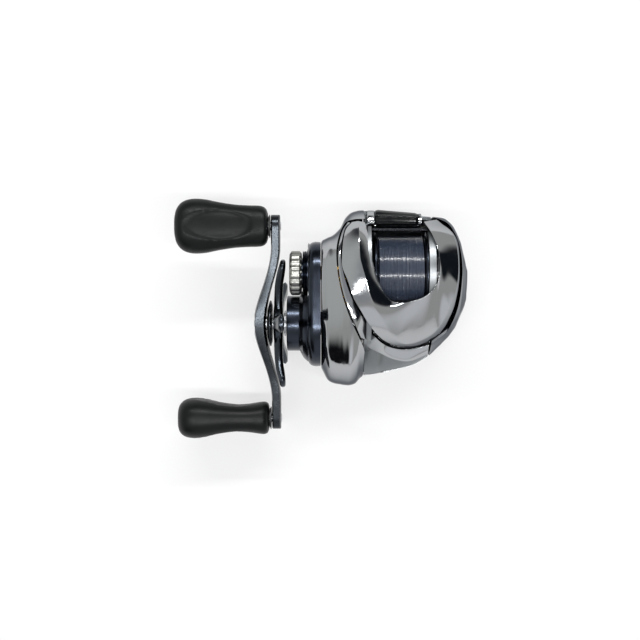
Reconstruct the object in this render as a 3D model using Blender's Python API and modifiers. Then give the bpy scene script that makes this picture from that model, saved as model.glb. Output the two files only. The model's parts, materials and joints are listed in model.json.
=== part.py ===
"""Low-profile baitcasting reel, right-hand wind, modelled as its bench-strip pieces.

Frame: origin at the centre of the foot's flat underside, +X towards the palm side, +Y towards the
angler, +Z up. Sizes are in millimetres and are turned to metres where the meshes are made.
"""
import math

import bmesh
import bpy
from mathutils import Matrix, Vector

MM = 0.001
GAP = 0.3
WALL = 1.6
ROUND = 20

# Driving dimensions: the two main axes, both parallel to X, as (y, z)
SPOOL_AXIS = (5.5, 24.5)
MAIN_AXIS = (-15.8, 19.0)
WORM_AXIS = (-19.5, 12.5)
GUIDE_AXIS = (-19.5, 7.4)
HANDLE_RADIUS = 41.6
HANDLE_TILT = math.radians(8)
ARM_SECTION = [(-1, -0.55), (-0.75, -1), (0.75, -1), (1, -0.55), (1, 0.55), (0.75, 1), (-0.75, 1), (-1, 0.55)]
STAR_RADIUS = 28.0
SPOOL_RADIUS = 17.5
LINE_RADIUS = 16.0
LINE_HALF_WIDTH = 9.2
SHAFT_RADIUS = 3.0
SPINDLE_RADIUS = 1.5

# Gears: teeth numbers set the ratios, the axis distances set the modules
PINION_TEETH = 10
DRIVE_TEETH = 70
LEVEL_TEETH = 22
WORM_TEETH = 14
GEAR_DISTANCE = math.dist(SPOOL_AXIS, MAIN_AXIS)
LEVEL_DISTANCE = math.dist(MAIN_AXIS, WORM_AXIS)
GEAR_MODULE = 2 * GEAR_DISTANCE / (PINION_TEETH + DRIVE_TEETH)
LEVEL_MODULE = 2 * LEVEL_DISTANCE / (LEVEL_TEETH + WORM_TEETH)

# Body stations along X: (x, front y, rear y, top z, bottom z, fullness of the upper front)
GEAR_STATIONS = [
    (-33.1, -35.7, 19.6, 38.5, 0.4, 1.0), (-30.4, -40.4, 20.8, 40.6, -1.4, 1.0),
    (-27.9, -42.0, 22.0, 42.0, -2.3, 1.0), (-24.9, -42.6, 25.0, 43.6, -2.6, 1.0),
    (-23.1, -42.9, 28.8, 44.4, -2.6, 1.0), (-20.8, -43.0, 31.2, 45.2, -2.6, 1.0),
    (-18.1, -42.2, 32.2, 45.8, -2.6, 0.85), (-16.0, -39.9, 32.5, 46.0, -2.6, 0.7),
    (-14.9, -38.9, 32.5, 46.0, -2.6, 0.6),
]
CENTRE_STATIONS = [
    (-14.6, -38.8, 32.4, 46.0, 1.2, 0.6), (-10.0, -38.2, 32.3, 46.0, 1.2, 0.35),
    (-5.4, -37.2, 32.0, 46.0, 1.2, 0.15), (0.0, -35.9, 31.4, 46.0, 1.2, 0.05),
    (7.0, -34.1, 30.6, 46.0, 1.2, 0.0), (14.0, -30.3, 29.8, 45.5, 1.2, 0.0),
]
PALM_STATIONS = [
    (14.3, -30.1, 29.8, 45.5, 0.6, 0.0), (19.2, -25.4, 29.0, 43.8, 0.8, 0.1),
    (22.6, -21.8, 26.0, 41.4, 1.8, 0.2), (25.2, -18.0, 20.7, 37.8, 4.2, 0.3),
    (26.9, -13.8, 13.8, 34.2, 7.6, 0.4), (28.0, -11.0, 8.4, 31.0, 10.6, 0.5),
    (28.7, -8.5, 3.8, 28.2, 13.6, 0.5),
]
# Side outline of the body, u forward (-1) to rear (+1) and v down (-1) to up (+1)
SLOPED_OUTLINE = [
    (1.0, 0.0), (0.955, 0.37), (0.77, 0.70), (0.43, 0.925), (0.02, 1.0), (-0.27, 0.91), (-0.52, 0.66),
    (-0.755, 0.29), (-0.88, -0.05), (-1.0, -0.50), (-0.95, -0.84), (-0.70, -0.97), (-0.13, -1.0),
    (0.50, -1.0), (0.84, -0.84), (0.975, -0.42),
]
FULL_OUTLINE = [
    (1.0, 0.0), (0.955, 0.40), (0.79, 0.73), (0.45, 0.935), (0.02, 1.0), (-0.26, 0.985), (-0.52, 0.89),
    (-0.78, 0.64), (-0.94, 0.20), (-1.0, -0.38), (-0.95, -0.82), (-0.70, -0.97), (-0.13, -1.0),
    (0.50, -1.0), (0.84, -0.84), (0.975, -0.42),
]
OUTLINE_MIDDLE = (5.5, 19.0)

# Plan outlines (x, y) of the hood and of the openings in it
HOOD_PLAN = [
    (-18.8, 26.9), (-22.6, 25.9), (-24.9, 22.0), (-26.6, 14.4), (-26.0, 4.1), (-23.7, -6.2), (-20.2, -15.7),
    (-15.8, -24.6), (-12.0, -33.0), (0.0, -37.0), (14.0, -31.0), (19.5, -21.5), (23.4, -10.2), (24.6, 2.4),
    (24.7, 8.2), (24.2, 14.0), (22.6, 20.0), (19.5, 25.5), (14.5, 28.3), (11.2, 28.9), (8.0, 29.4),
    (4.0, 20.0), (-10.0, 20.0), (-13.9, 27.0),
]
WINDOW_PLAN = [
    (-13.6, 18.5), (-12.5, 12.5), (-11.2, 5.9), (-8.3, -2.5), (-5.4, -6.0), (-2.0, -6.9), (1.6, -7.0),
    (5.2, -6.2), (9.9, -4.1), (13.0, -1.2), (14.5, 2.0), (15.2, 8.6), (14.8, 12.9), (13.5, 19.3),
    (11.8, 25.0), (9.6, 28.0), (8.6, 31.0), (8.6, 36.0), (-14.4, 36.0), (-14.4, 24.5),
]
HOOD_EDGE_Z = 21.0
LIP_Z = (9.0, 14.0)
BRAKE_DIAL_AXIS = (-2.5, 20.9)
SCREW_PLACES = [(16.5, 24.5), (-3.6, 34.4), (1.4, 11.4)]

PARTS = None
CUTTERS = None


def clear_scene():
    for obj in list(bpy.data.objects):
        bpy.data.objects.remove(obj, do_unlink=True)


def new_collection(name):
    collection = bpy.data.collections.new(name)
    bpy.context.scene.collection.children.link(collection)
    return collection


def material(name, colour, roughness, metallic):
    made = bpy.data.materials.new(name)
    made.use_nodes = True
    shader = made.node_tree.nodes["Principled BSDF"]
    shader.inputs["Base Color"].default_value = (*colour, 1.0)
    shader.inputs["Roughness"].default_value = roughness
    shader.inputs["Metallic"].default_value = metallic
    return made


# ---------------------------------------------------------------- shape helpers

def smooth_loop(points, per_span):
    """Closed Catmull-Rom curve through the points, with per_span points for each span."""
    loop = []
    count = len(points)
    for i in range(count):
        before, here, after, beyond = (Vector(points[(i + k) % count]) for k in (-1, 0, 1, 2))
        for step in range(per_span):
            t = step / per_span
            loop.append(0.5 * (2 * here + (after - before) * t
                               + (2 * before - 5 * here + 4 * after - beyond) * t**2
                               + (3 * here - before - 3 * after + beyond) * t**3))
    return loop


def offset_loop(loop, distance):
    """Moves a counter-clockwise loop inwards by distance, or outwards if it is negative."""
    moved = []
    count = len(loop)
    for i, point in enumerate(loop):
        along = (Vector(loop[(i + 1) % count]) - Vector(loop[i - 1])).normalized()
        moved.append(Vector(point) + Vector((-along.y, along.x)) * distance)
    return moved


def body_ring(station, inset=0.0, per_span=2):
    """Outline (y, z) of the body at one station, moved inwards by inset."""
    _, front, rear, top, bottom, fullness = station
    middle_y, middle_z = OUTLINE_MIDDLE
    points = []
    for sloped, full in zip(SLOPED_OUTLINE, FULL_OUTLINE):
        u = sloped[0] + (full[0] - sloped[0]) * fullness
        v = sloped[1] + (full[1] - sloped[1]) * fullness
        points.append((middle_y + u * ((rear - middle_y) if u > 0 else (middle_y - front)),
                       middle_z + v * ((top - middle_z) if v > 0 else (middle_z - bottom))))
    return offset_loop(smooth_loop(points, per_span), inset)


def station_at(stations, x):
    """Station values at x, read between the two stations on either side of it."""
    for low, high in zip(stations, stations[1:]):
        if low[0] <= x <= high[0]:
            part = (x - low[0]) / (high[0] - low[0])
            return tuple(a + (b - a) * part for a, b in zip(low, high))
    return stations[0] if x < stations[0][0] else stations[-1]


def add_mesh(name, bm, finish, collection=None, location=(0, 0, 0), rotation=(0, 0, 0), parent=None):
    mesh = bpy.data.meshes.new(name)
    bm.to_mesh(mesh)
    bm.free()
    obj = bpy.data.objects.new(name, mesh)
    (collection or PARTS).objects.link(obj)
    obj.location = Vector(location) * MM
    obj.rotation_euler = rotation
    obj.parent = parent
    if finish:
        mesh.materials.append(finish)
    if collection is CUTTERS:
        obj.hide_render = True
        obj.display_type = "WIRE"
    return obj


def loft_bm(sections):
    """Closed skin through sections of equal point count, each a list of (x, y, z)."""
    bm = bmesh.new()
    rings = [[bm.verts.new(Vector(point) * MM) for point in section] for section in sections]
    for ring, following in zip(rings, rings[1:]):
        for i in range(len(ring)):
            j = (i + 1) % len(ring)
            bm.faces.new((ring[i], ring[j], following[j], following[i]))
    bm.faces.new(rings[0][::-1])
    bm.faces.new(rings[-1])
    bmesh.ops.recalc_face_normals(bm, faces=bm.faces[:])
    return bm


def body_loft(name, stations, finish=None, inset=0.0, shift=None, collection=None):
    """Loft of the body outline along X; shift(x) moves each ring along X."""
    sections = []
    for station in stations:
        x = station[0] + (shift(station[0]) if shift else 0.0)
        sections.append([(x, point.x, point.y) for point in body_ring(station, inset)])
    return add_mesh(name, loft_bm(sections), finish, collection)


def box(name, low, high, finish=None, collection=None, parent=None):
    size = [(b - a) * MM for a, b in zip(low, high)]
    middle = [(a + b) / 2 * MM for a, b in zip(low, high)]
    bm = bmesh.new()
    bmesh.ops.create_cube(bm, size=1.0, matrix=Matrix.Translation(middle) @ Matrix.Diagonal((*size, 1.0)))
    return add_mesh(name, bm, finish, collection, parent=parent)


def rod(name, start, end, radius, finish=None, collection=None, segments=ROUND, parent=None):
    """Cylinder between two points."""
    start, end = Vector(start) * MM, Vector(end) * MM
    turn = (end - start).to_track_quat("Z", "X").to_matrix().to_4x4()
    bm = bmesh.new()
    bmesh.ops.create_cone(bm, cap_ends=True, segments=segments, radius1=radius * MM, radius2=radius * MM,
                          depth=(end - start).length, matrix=Matrix.Translation((start + end) / 2) @ turn)
    return add_mesh(name, bm, finish, collection, parent=parent)


def x_cutter(name, x_span, axis, radius, segments=ROUND):
    return rod(name, (x_span[0], *axis), (x_span[1], *axis), radius, None, CUTTERS, segments)


def turned(name, profile, axis, finish, closed=True, steps=ROUND, collection=None, parent=None):
    """Turned piece about a line parallel to X; profile (x, radius) runs from high x to low x outside."""
    bm = bmesh.new()
    points = [bm.verts.new((radius * MM, 0, x * MM)) for x, radius in profile]
    for a, b in zip(points, points[1:]):
        bm.edges.new((a, b))
    if closed:
        bm.edges.new((points[-1], points[0]))
    obj = add_mesh(name, bm, finish, collection, (0, *axis), (0, math.pi / 2, 0), parent)
    screw = obj.modifiers.new("turn", "SCREW")
    screw.steps = screw.render_steps = steps
    screw.use_merge_vertices = True
    screw.merge_threshold = 1e-6
    return obj


def ring(name, x_span, radii, axis, finish, steps=ROUND, parent=None):
    """Plain ring: x_span low to high, radii inner to outer."""
    low, high = x_span
    inner, outer = radii
    return turned(name, [(high, outer), (low, outer), (low, inner), (high, inner)], axis, finish,
                  steps=steps, parent=parent)


def plate(name, outline, x_span, finish=None, collection=None, axes="YZ"):
    """Flat outline given extent along the third axis: (y, z) across X, or (x, y) across Z."""
    curve = bpy.data.curves.new(name + "_outline", "CURVE")
    curve.dimensions = "2D"
    curve.fill_mode = "BOTH"
    curve.extrude = (x_span[1] - x_span[0]) / 2 * MM
    spline = curve.splines.new("POLY")
    spline.points.add(len(outline) - 1)
    for point, (a, b) in zip(spline.points, outline):
        point.co = (a * MM, b * MM, 0, 1)
    spline.use_cyclic_u = True
    drawn = bpy.data.objects.new(name + "_outline", curve)
    bpy.context.scene.collection.objects.link(drawn)
    middle = (x_span[0] + x_span[1]) / 2 * MM
    if axes == "YZ":
        drawn.matrix_world = Matrix(((0, 0, 1, middle), (1, 0, 0, 0), (0, 1, 0, 0), (0, 0, 0, 1)))
    else:
        drawn.matrix_world = Matrix.Translation((0, 0, middle))
    bpy.context.view_layer.update()
    mesh = bpy.data.meshes.new_from_object(drawn.evaluated_get(bpy.context.evaluated_depsgraph_get()))
    bm = bmesh.new()
    bm.from_mesh(mesh)
    bmesh.ops.remove_doubles(bm, verts=bm.verts[:], dist=1e-7)
    bmesh.ops.recalc_face_normals(bm, faces=bm.faces[:])
    bm.transform(drawn.matrix_world)
    bpy.data.objects.remove(drawn, do_unlink=True)
    bpy.data.meshes.remove(mesh)
    return add_mesh(name, bm, finish, collection)


def boolean(target, operation, *others):
    for other in others:
        change = target.modifiers.new(other.name, "BOOLEAN")
        change.operation = operation
        change.object = other
        change.solver = "EXACT"
    return target


def cut(target, *others):
    return boolean(target, "DIFFERENCE", *others)


def join(target, *others):
    return boolean(target, "UNION", *others)


def keep(target, *others):
    return boolean(target, "INTERSECT", *others)


def gear_outline(teeth, module, phase):
    """Stub teeth with straight flanks at 25 degrees; phase turns the first tooth's centre from +Y."""
    pitch = teeth * module / 2
    backlash = 0.18
    lean = math.tan(math.radians(25))
    half = math.pi * module / 4 - backlash / 2
    rise, fall = 0.8 * module, 1.05 * module
    outline = []
    for tooth in range(teeth):
        centre = phase + tooth * math.tau / teeth
        for radius, width, side in ((pitch - fall, half + fall * lean, -1), (pitch + rise, half - rise * lean, -1),
                                    (pitch + rise, half - rise * lean, 1), (pitch - fall, half + fall * lean, 1)):
            angle = centre + side * width / radius
            outline.append((radius * math.cos(angle), radius * math.sin(angle)))
    return outline


def spur_gear(name, teeth, module, phase, axis, x_span, finish, bore):
    outline = [(axis[0] + y, axis[1] + z) for y, z in gear_outline(teeth, module, phase)]
    gear = plate(name, outline, x_span, finish)
    return cut(gear, x_cutter(name + "_bore", (x_span[0] - 1, x_span[1] + 1), axis, bore))


def arc(centre, radius, start, end, count):
    """Points on an arc, angles in degrees from the first axis."""
    angles = [math.radians(start + (end - start) * i / (count - 1)) for i in range(count)]
    return [(centre[0] + radius * math.cos(a), centre[1] + radius * math.sin(a)) for a in angles]


def two_circle_outline(a, radius_a, b, radius_b, count=14):
    """Belt outline round two circles, counter-clockwise."""
    gap = Vector(b) - Vector(a)
    heading = math.degrees(math.atan2(gap.y, gap.x))
    lean = math.degrees(math.acos((radius_a - radius_b) / gap.length))
    return (arc(b, radius_b, heading - lean, heading + lean, count)
            + arc(a, radius_a, heading + lean, heading + 360 - lean, count + 6))


# ---------------------------------------------------------------- shells and frame

def hood_prism(name, grow):
    """Upright prism over the hood's plan outline, from its lower edge up."""
    outline = offset_loop([Vector(p) for p in HOOD_PLAN], -grow)
    return plate(name, outline, (HOOD_EDGE_Z - grow, 60), None, CUTTERS, "XY")


def build_hood(chrome):
    stations = GEAR_STATIONS[1:-1] + CENTRE_STATIONS[1:-1] + PALM_STATIONS[:5]
    hood = body_loft("front_hood", stations, chrome)
    hollow = body_loft("hood_hollow", [station_at(stations, -30.4)] + stations[1:], inset=WALL,
                       shift=lambda x: -0.05 * x, collection=CUTTERS)
    keep(cut(hood, hollow), hood_prism("hood_plan", 0.0))
    return cut(hood, plate("hood_window", WINDOW_PLAN, (HOOD_EDGE_Z - 2, 60), None, CUTTERS, "XY"))


def build_gear_housing(chrome):
    housing = body_loft("gear_housing", GEAR_STATIONS, chrome)
    hollow_stations = [(-31.4, *station_at(GEAR_STATIONS, -31.6)[1:])]
    hollow_stations += [station for station in GEAR_STATIONS[1:-1] if station[0] > -31.5]
    hollow_stations += [(-10.0, *GEAR_STATIONS[-1][1:])]
    hollow = body_loft("housing_hollow", hollow_stations, inset=WALL, collection=CUTTERS)
    cut(housing, hollow, hood_prism("housing_hood_gap", GAP))
    return cut(housing, x_cutter("housing_clutch_bore", (-36, -30), MAIN_AXIS, 8.6),
               x_cutter("housing_pinion_bore", (-36, -30), SPOOL_AXIS, 6.3))


def build_palm_cover(chrome):
    cover = body_loft("palm_side_cover", PALM_STATIONS, chrome)
    hollow_stations = [(12.0, *PALM_STATIONS[0][1:])] + PALM_STATIONS[:-2]
    hollow = body_loft("palm_hollow", hollow_stations, inset=WALL, shift=lambda x: -WALL if x > 15 else 0.0,
                       collection=CUTTERS)
    boss = turned("palm_bearing_boss", [(26.2, 7.3), (16.8, 7.3), (16.8, 5.8), (26.2, 5.8)], SPOOL_AXIS, None,
                  collection=CUTTERS)
    cut(cover, hollow)
    join(cover, boss)
    cut(cover, hood_prism("palm_hood_gap", GAP))
    return cut(cover, x_cutter("brake_dial_recess", (27.3, 30.0), BRAKE_DIAL_AXIS, 5.3))


def build_frame(metal):
    """Palm ring, gear-side wall, lower shell and foot in one casting."""
    ends = {CENTRE_STATIONS[0][0]: 0.3, CENTRE_STATIONS[-1][0]: -0.4}
    frame = body_loft("frame", CENTRE_STATIONS, metal, shift=lambda x: ends.get(x, 0.0))
    stretched = [(-20.0, *CENTRE_STATIONS[0][1:])] + CENTRE_STATIONS[1:-1]
    stretched += [(20.0, *CENTRE_STATIONS[-1][1:])]
    cut(frame, body_loft("frame_hollow", stretched, inset=WALL, collection=CUTTERS))
    cut(frame, box("frame_front_trim", (-20, -50, LIP_Z[0] - GAP), (20, 10, 60), None, CUTTERS))
    cut(frame, box("frame_rear_trim", (-20, 0, HOOD_EDGE_Z - 0.4), (20, 40, 60), None, CUTTERS))
    for name, x_span in (("gear_wall", (-14.6, -12.4)), ("palm_ring", (11.0, 14.0))):
        station = station_at(CENTRE_STATIONS, max(x_span, key=abs))
        outline = body_ring(station, inset=WALL + 0.7)
        wall = plate(name, outline, x_span, None, CUTTERS)
        join(frame, wall)
        low_edge = plate(name + "_low", body_ring(station, inset=0.8), (x_span[0] + 0.15, x_span[1] - 0.15),
                         None, CUTTERS)
        keep(low_edge, box(name + "_low_keep", (-20, -50, -5), (20, 40, HOOD_EDGE_Z - 0.6), None, CUTTERS))
        join(frame, low_edge)
    bar_outline = [(21.7, 34.2), (24.2, 33.6), (24.2, 36.6), (22.2, 37.2)]
    bar = plate("rear_guard_bar", bar_outline, (-13.0, 12.0), None, CUTTERS)
    join(frame, bar)
    foot_steps = ((-32, 4.5, 1.0), (-30, 6.2, 1.2), (-18, 8, 2.5), (18, 8, 2.5), (30, 6.2, 1.2), (32, 4.5, 1.0))
    foot_sections = [[(side * half, y, z) for side, z in ((-1, 0), (1, 0), (1, top), (-1, top))]
                     for y, half, top in foot_steps]
    join(frame, add_mesh("foot", loft_bm(foot_sections), None, CUTTERS))
    cut(frame, x_cutter("palm_ring_bore", (10.5, 14.5), SPOOL_AXIS, 18.0, 36),
        x_cutter("wall_bearing_bore", (-15, -12), SPOOL_AXIS, 5.8),
        x_cutter("wall_shaft_bore", (-15, -12), MAIN_AXIS, 3.3),
        x_cutter("worm_bore", (-15, 14.5), WORM_AXIS, 1.5),
        x_cutter("guide_bore", (-15, 14.5), GUIDE_AXIS, 1.3),
        box("thumb_bar_slot", (-15, 24.25, 22.4), (-12, 40, 50), None, CUTTERS))
    return frame


def build_front_lip(chrome):
    lip = body_loft("front_lip", CENTRE_STATIONS, chrome)
    cut(lip, body_loft("lip_hollow", [(-20.0, *CENTRE_STATIONS[0][1:])] + CENTRE_STATIONS[1:-1]
                       + [(20.0, *CENTRE_STATIONS[-1][1:])], inset=WALL, collection=CUTTERS))
    return keep(lip, box("lip_keep", (-12.1, -50, LIP_Z[0]), (10.7, -10, LIP_Z[1]), None, CUTTERS))


def build_gear_side_cover(navy, steel):
    """Dark outer cover with the main-shaft boss and the threaded cast-control spigot."""
    plate_steps = ((-33.4, 18.5, 13.3), (-35.6, 18.5, 13.3), (-38.0, 17.3, 13.2), (-38.7, 16.7, 12.9))
    sections = [[(x, *p) for p in two_circle_outline(MAIN_AXIS, main_radius, SPOOL_AXIS, spool_radius)]
                for x, main_radius, spool_radius in plate_steps]
    cover = add_mesh("gear_side_cover", loft_bm(sections), navy)
    boss = turned("main_boss", [(-35.0, 0), (-35.0, 15.4), (-38.2, 16.0), (-40.6, 14.9), (-42.0, 11.8),
                                (-47.7, 11.8), (-47.7, 0)], MAIN_AXIS, None, closed=False, collection=CUTTERS)
    spigot_profile = [(-35.0, 0), (-35.0, 9.5), (-40.9, 9.5), (-40.9, 6.5), (-44.4, 6.5), (-44.4, 0)]
    spigot = turned("cast_spigot", spigot_profile, SPOOL_AXIS, None, closed=False, collection=CUTTERS)
    join(cover, boss, spigot)
    for number, place in enumerate(SCREW_PLACES, 1):
        name = f"cover_screw_{number}"
        cut(cover, x_cutter(name + "_head_seat", (-42, -37.5), place, 1.8, 16),
            x_cutter(name + "_hole", (-38.0, -30), place, 1.2, 12))
        screw_profile = [(-33.7, 0), (-33.7, 0.9), (-37.8, 0.9), (-37.8, 1.5), (-38.6, 1.3), (-38.6, 0)]
        turned(name, screw_profile, place, steel, closed=False, steps=16)
    return cut(cover, x_cutter("clutch_pocket", (-40.3, -30), MAIN_AXIS, 8.3),
               x_cutter("tube_bore", (-50, -30), MAIN_AXIS, 5.4),
               x_cutter("pinion_bearing_pocket", (-37.0, -30), SPOOL_AXIS, 6.0),
               x_cutter("spigot_bore", (-50, -30), SPOOL_AXIS, 3.5))


# ---------------------------------------------------------------- spool and brake

def build_spool_group(finish):
    half = LINE_HALF_WIDTH + GAP
    flange = [(half + 2.1, SPOOL_RADIUS - 1.1), (half + 1.8, SPOOL_RADIUS - 0.1), (half + 0.8, SPOOL_RADIUS),
              (half + 0.2, SPOOL_RADIUS - 0.9), (half, 11.0)]
    recess = [(half + 2.1, SPOOL_RADIUS - 1.9), (half + 1.3, 15.2), (half + 1.3, 9.9), (1.5, 9.9), (1.5, 3.4),
              (6.0, 3.4), (6.0, 1.8)]
    outer = flange + [(-x, r) for x, r in flange[::-1]]
    inner = [(-x, r) for x, r in recess] + recess[::-1]
    turned("spool", outer + inner, SPOOL_AXIS, finish["navy"], steps=24)
    low = 11.0 + GAP
    turned("line_pack", [(LINE_HALF_WIDTH, LINE_RADIUS - 0.5), (LINE_HALF_WIDTH - 1, LINE_RADIUS),
                         (1 - LINE_HALF_WIDTH, LINE_RADIUS), (-LINE_HALF_WIDTH, LINE_RADIUS - 0.5),
                         (-LINE_HALF_WIDTH, low), (LINE_HALF_WIDTH, low)],
           SPOOL_AXIS, finish["line"], steps=28)
    shaft_profile = [(20.0, 0), (20.0, 1.2), (19.4, SPINDLE_RADIUS), (-42.6, SPINDLE_RADIUS), (-43.1, 1.0),
                     (-43.1, 0)]
    turned("spool_shaft", shaft_profile, SPOOL_AXIS, finish["steel"], closed=False, steps=16)
    ring("brake_rotor", (2.2, 5.8), (3.7, 9.4), SPOOL_AXIS, finish["plastic"])
    turned("brake_drum", [(16.2, 15.0), (14.8, 15.0), (14.8, 9.2), (6.4, 9.2), (6.4, 8.0), (16.2, 8.0)],
           SPOOL_AXIS, finish["steel"])
    ring("spool_bearing_palm", (17.0, 19.5), (1.8, 5.5), SPOOL_AXIS, finish["steel"], 20)
    ring("spool_bearing_gear", (-14.5, -12.5), (1.8, 5.5), SPOOL_AXIS, finish["steel"], 20)
    ring("pinion_bearing", (-36.7, -34.2), (3.2, 5.7), SPOOL_AXIS, finish["steel"], 20)
    dial = turned("brake_dial", [(27.6, 0), (27.6, 5.0), (28.4, 5.0), (28.6, 4.6), (28.6, 0)][::-1],
                  BRAKE_DIAL_AXIS, finish["plastic"], closed=False)
    cut(dial, box("dial_slot", (28.2, BRAKE_DIAL_AXIS[0] - 3.5, BRAKE_DIAL_AXIS[1] - 0.6),
                  (29, BRAKE_DIAL_AXIS[0] + 3.5, BRAKE_DIAL_AXIS[1] + 0.6), None, CUTTERS))


# ---------------------------------------------------------------- gears, shaft and clutch

def build_drive_train(finish):
    towards_spool = math.atan2(SPOOL_AXIS[1] - MAIN_AXIS[1], SPOOL_AXIS[0] - MAIN_AXIS[0])
    spur_gear("drive_gear", DRIVE_TEETH, GEAR_MODULE, towards_spool, MAIN_AXIS, (-25.1, -22.9),
              finish["brass"], SHAFT_RADIUS + GAP)
    back = towards_spool + math.pi + math.pi / PINION_TEETH
    teeth = [(SPOOL_AXIS[0] + y, SPOOL_AXIS[1] + z) for y, z in gear_outline(PINION_TEETH, GEAR_MODULE, back)]
    pinion = plate("pinion_gear", teeth, (-27.0, -20.8), finish["brass"])
    journal = turned("pinion_journal", [(-17.0, 0), (-17.0, 3.6), (-18.0, 3.6), (-18.0, 2.5), (-20.0, 2.5),
                                        (-20.0, 3.6), (-20.9, 3.6), (-20.9, 2.1), (-26.8, 2.1), (-27.0, 2.9),
                                        (-33.4, 2.9), (-33.4, 0)], SPOOL_AXIS, None, closed=False, steps=20,
                     collection=CUTTERS)
    join(pinion, journal)
    cut(pinion, x_cutter("pinion_bore", (-40, -10), SPOOL_AXIS, SPINDLE_RADIUS + GAP, 20))
    clear = SHAFT_RADIUS + GAP
    turned("main_shaft", [(-13.0, 0), (-13.0, SHAFT_RADIUS), (-60.3, SHAFT_RADIUS), (-60.3, 0)], MAIN_AXIS,
           finish["steel"], closed=False)
    ratchet = plate("anti_reverse_ratchet", [(MAIN_AXIS[0] + r * math.cos(a), MAIN_AXIS[1] + r * math.sin(a))
                                             for r, a in ratchet_points()], (-21.2, -20.0), finish["steel"])
    cut(ratchet, x_cutter("ratchet_bore", (-25, -15), MAIN_AXIS, clear))
    ring("drag_washer", (-26.3, -25.4), (clear, 14.1), MAIN_AXIS, finish["carbon"])
    ring("drag_key_washer", (-27.3, -26.6), (clear, 13.6), MAIN_AXIS, finish["steel"])
    ring("roller_clutch_tube", (-47.9, -27.6), (clear, 5.0), MAIN_AXIS, finish["steel"])
    ring("roller_clutch", (-40.0, -33.5), (5.3, 8.0), MAIN_AXIS, finish["steel"])
    turned("drag_spring_washer", [(-48.2, 5.4), (-48.8, 5.4), (-49.1, 4.2), (-49.1, clear), (-48.5, clear)],
           MAIN_AXIS, finish["steel"])
    towards_worm = math.atan2(WORM_AXIS[1] - MAIN_AXIS[1], WORM_AXIS[0] - MAIN_AXIS[0])
    spur_gear("levelwind_drive_gear", LEVEL_TEETH, LEVEL_MODULE, towards_worm, MAIN_AXIS, (-17.4, -15.2),
              finish["plastic"], clear)
    spur_gear("worm_gear", WORM_TEETH, LEVEL_MODULE, towards_worm + math.pi + math.pi / WORM_TEETH, WORM_AXIS,
              (-17.4, -15.2), finish["plastic"], 1.5)


def ratchet_points(teeth=12, radius=10.5, depth=1.4):
    """Saw-toothed ratchet outline in polar points."""
    points = []
    for tooth in range(teeth):
        start = tooth * math.tau / teeth
        points += [(radius - depth, start), (radius, start + 0.62 * math.tau / teeth),
                   (radius - depth, start + 0.72 * math.tau / teeth)]
    return points


def build_clutch(finish):
    y, z = SPOOL_AXIS
    yoke = plate("clutch_yoke", [(y - 3.2, z - 11.4), (y + 3.2, z - 11.4), (y + 5.4, z), (y + 3.2, z + 11.4),
                                 (y - 3.2, z + 11.4), (y - 5.4, z)], (-19.6, -18.4), finish["plastic"])
    cut(yoke, x_cutter("yoke_fork", (-25, -15), SPOOL_AXIS, 2.9, 20),
        box("yoke_fork_mouth", (-25, y - 9, z - 2.9), (-15, y, z + 2.9), None, CUTTERS))
    for number, side in ((1, -1), (2, 1)):
        place = (y, z + side * 9.5)
        cut(yoke, x_cutter(f"yoke_eye_{number}", (-25, -15), place, 1.3, 16))
        rod(f"yoke_pin_{number}", (-25.6, *place), (-14.9, *place), 1.0, finish["steel"], segments=12)
        ring(f"yoke_spring_{number}", (-25.4, -21.5), (1.2, 1.55), place, finish["steel"], 12)
    cam = ring("clutch_cam", (-17.6, -15.4), (4.3, 7.4), SPOOL_AXIS, finish["plastic"], 24)
    lug = box("clutch_cam_lug", (-17.6, y + 6.5, z - 1.5), (-15.4, y + 12.0, z + 1.5), None, CUTTERS)
    join(cam, lug)


# ---------------------------------------------------------------- level wind

def build_level_wind(finish):
    y, z = WORM_AXIS
    shaft_profile = [(13.6, 0), (13.6, 1.2), (10.7, 1.2), (10.7, 2.4), (-12.1, 2.4), (-12.1, 1.2),
                     (-17.8, 1.2), (-17.8, 0)]
    turned("worm_shaft", shaft_profile, WORM_AXIS, finish["steel"], closed=False, steps=20)
    rod("guide_bar", (-14.3, *GUIDE_AXIS), (13.7, *GUIDE_AXIS), 1.0, finish["steel"], segments=12)
    guide = box("line_guide", (-3.2, y - 5.7, 5.4), (3.2, y + 3.5, z + 3.0), finish["plastic"])
    join(guide, box("line_eye_block", (-2.6, y - 3.2, z + 2.0), (2.6, y + 2.8, 20.6), None, CUTTERS))
    cut(guide, x_cutter("carriage_bore", (-5, 5), WORM_AXIS, 2.7, 20),
        x_cutter("guide_bar_bore", (-5, 5), GUIDE_AXIS, 1.3, 16),
        rod("line_eye_bore", (0, y - 8, 18.3), (0, y + 8, 18.3), 1.5, None, CUTTERS, 16),
        rod("pawl_bore", (0, y - 8, z), (0, y - 1, z), 1.5, None, CUTTERS, 16))
    rod("levelwind_pawl", (0, y - 5.4, z), (0, y - 2.75, z), 1.2, finish["brass"], segments=12)


# ---------------------------------------------------------------- controls

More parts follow.
